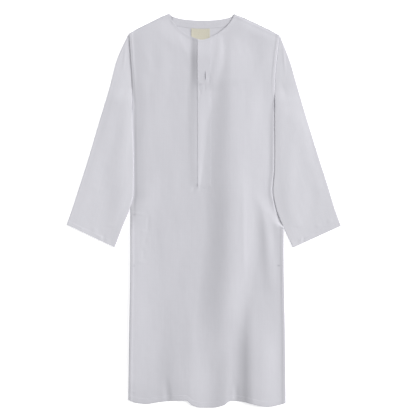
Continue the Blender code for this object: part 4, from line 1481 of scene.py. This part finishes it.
def sleeve_grid(rings, side, folds, tucks):
    """A sleeve's outer face, station by station, with its distance from the cuff."""
    along = sleeve_rows()
    outer, inner = sleeve_lines(rings, along)
    across, inset, height, swell = (part[None, :] for part in tube_stations().T)
    width = np.linalg.norm(inner - outer, axis=1)[:, None]
    direction = (inner - outer) / width
    distance = across * width + inset * SLEEVE_RADIUS
    plan = outer[:, None, :] + direction[:, None, :] * distance[..., None]
    t = np.clip(distance / width, 0.0, 1.0)
    seam_y = outer[0, 1] + (inner[0, 1] - outer[0, 1]) * t
    seam_x = body_line(edge_of(side), np.maximum(seam_y, LIFT_FULL_Y)) + side * ARMHOLE_GAP
    straight_x = outer[0, 0] + (inner[0, 0] - outer[0, 0]) * t
    armhole = np.maximum(0.0, 1.0 - along / ARMHOLE_FADE)[:, None]
    plan[..., 0] += (seam_x - straight_x) * armhole**ARMHOLE_FADE_POWER
    plan[..., 0] += np.where(across == 0.0, side * FOLD_STAND_OFF * armhole, 0.0)
    x, y = plan[..., 0], plan[..., 1]
    upper = np.clip(height - 1.0, 0.0, 1.0)
    inside = np.clip(np.minimum(t, 1 - t) * width / 0.030, 0.0, 1.0)
    length = np.linalg.norm((outer[-1] + inner[-1]) / 2 - (outer[0] + inner[0]) / 2)
    from_seam = along[:, None] * length + np.zeros_like(t)
    from_cuff = (1 - along)[:, None] * length + np.zeros_like(t)
    held = ease_in(inside) * ease(from_seam / 0.05) * upper
    z = height * SLEEVE_RADIUS + swell * SLEEVE_SWELL * ease_in(along / SLEEVE_SWELL_RUN)[:, None]
    z += sleeve_lift(x, y, side)
    z += held * added(folds, fold_rise, x, y)
    z += upper * ease_in(inside) * added(tucks, tuck_rise, x, y)
    z += held * undulation(x, y, 81 + side)
    z += upper * (band(from_cuff, CUFF_BAND, HEM_RISE) + groove(from_cuff, CUFF_LINE))
    z += upper * ease_in(inside) * 1.8 * pucker(x * 1.1, from_cuff, CUFF_BAND - 0.004, 91 + side)
    low = np.minimum(z, EDGE_LOW * upper + z * (1 - upper))
    z = np.where(upper > 0, low + (z - low) * round_over(from_seam / EDGE_ROLL), z)
    return np.dstack([plan, z]), np.dstack([distance, from_cuff])


def make_sleeve(name, node, rings, side, folds, tucks):
    """A flattened tube from the armhole to the cuff."""
    points, place = sleeve_grid(rings, side, folds, tucks)
    if side < 0:
        points, place = points[:, ::-1], place[:, ::-1]
    # The sleeves wear the copy of the cloth with painted light.
    piece = cloth_shell(name, points, SLEEVE_WALL, SLEEVE_PAINTED_LIGHT_FINISH, closed=True, uv=place)
    cover(piece, [node])
    half_fold = FOLD_ARC_STEPS // 2
    around = points[:, half_fold : -SLEEVE_UNDER - half_fold]
    if side < 0:
        around = points[:, SLEEVE_UNDER + half_fold : -half_fold]
    cuff = np.argmin(np.abs(place[:, 0, 1] - CUFF_BAND + 0.0015))
    proud = (0, 0, 0.0001)
    sewing = [sew(name + "_stitching", [around[cuff] + proud, around[4, 4:-4] + proud], seed=13)]


make_back_panel()
make_front_panel()
make_over_placket()
make_under_placket()
make_neck_facing()
make_neck_label()
make_pocket_bag("right_pocket_cloth", "pocket_bag_right", -1)
make_pocket_bag("left_pocket_cloth", "pocket_bag_left", 1)
right_creases = (RIGHT_SLEEVE_FOLDS, RIGHT_SLEEVE_TUCKS)
left_creases = (LEFT_SLEEVE_FOLDS, LEFT_SLEEVE_TUCKS)
make_sleeve("right_sleeve_cloth", "sleeve_right", RIGHT_SLEEVE, -1, *right_creases)
make_sleeve("left_sleeve_cloth", "sleeve_left", LEFT_SLEEVE, 1, *left_creases)

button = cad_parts["button"]
button.data.materials.clear()
button.data.materials.append(button_finish())


def make_floor():
    floor_mesh = bpy.data.meshes.new("floor")
    reach = 60.0
    corners = [(-reach, -reach, 0), (reach, -reach, 0), (reach, reach, 0), (-reach, reach, 0)]
    floor_mesh.from_pydata([(x, y, -0.0003) for x, y, _ in corners], [], [(0, 1, 2, 3)])
    floor_mesh.materials.append(floor_finish())
    floor = bpy.data.objects.new("floor", floor_mesh)
    bpy.context.scene.collection.objects.link(floor)


def make_lamp(name, place, target, size, watts):
    lamp = bpy.data.lights.new(name, "AREA")
    lamp.shape = "DISK"
    lamp.size = size
    lamp.energy = watts
    holder = bpy.data.objects.new(name, lamp)
    holder.location = place
    aim = Vector(target) - Vector(place)
    holder.rotation_euler = aim.to_track_quat("-Z", "Y").to_euler()
    bpy.context.scene.collection.objects.link(holder)


make_floor()
make_lamp("key", (33.0, 15.0, 16.9), (0.0, 0.0, 0.0), 28.0, 21700.0)
make_lamp("fill", (-1.6, 0.7, 3.2), (0.0, 0.1, 0.0), 1.4, 28.0)

world = bpy.data.worlds.new("studio")
world.use_nodes = True
world.node_tree.nodes["Background"].inputs["Color"].default_value = (0.97, 0.98, 1.0, 1.0)
world.node_tree.nodes["Background"].inputs["Strength"].default_value = 0.26
bpy.context.scene.world = world
bpy.context.scene.view_settings.view_transform = "Standard"

camera_data = bpy.data.cameras.new("camera")
camera_data.lens = LENS
camera_data.sensor_width = SENSOR
camera = bpy.data.objects.new("camera", camera_data)
camera.location = (*PICTURE_MIDDLE, LENS / SENSOR * PICTURE_WIDTH + PICTURE_LEVEL)
bpy.context.scene.collection.objects.link(camera)
bpy.context.scene.camera = camera
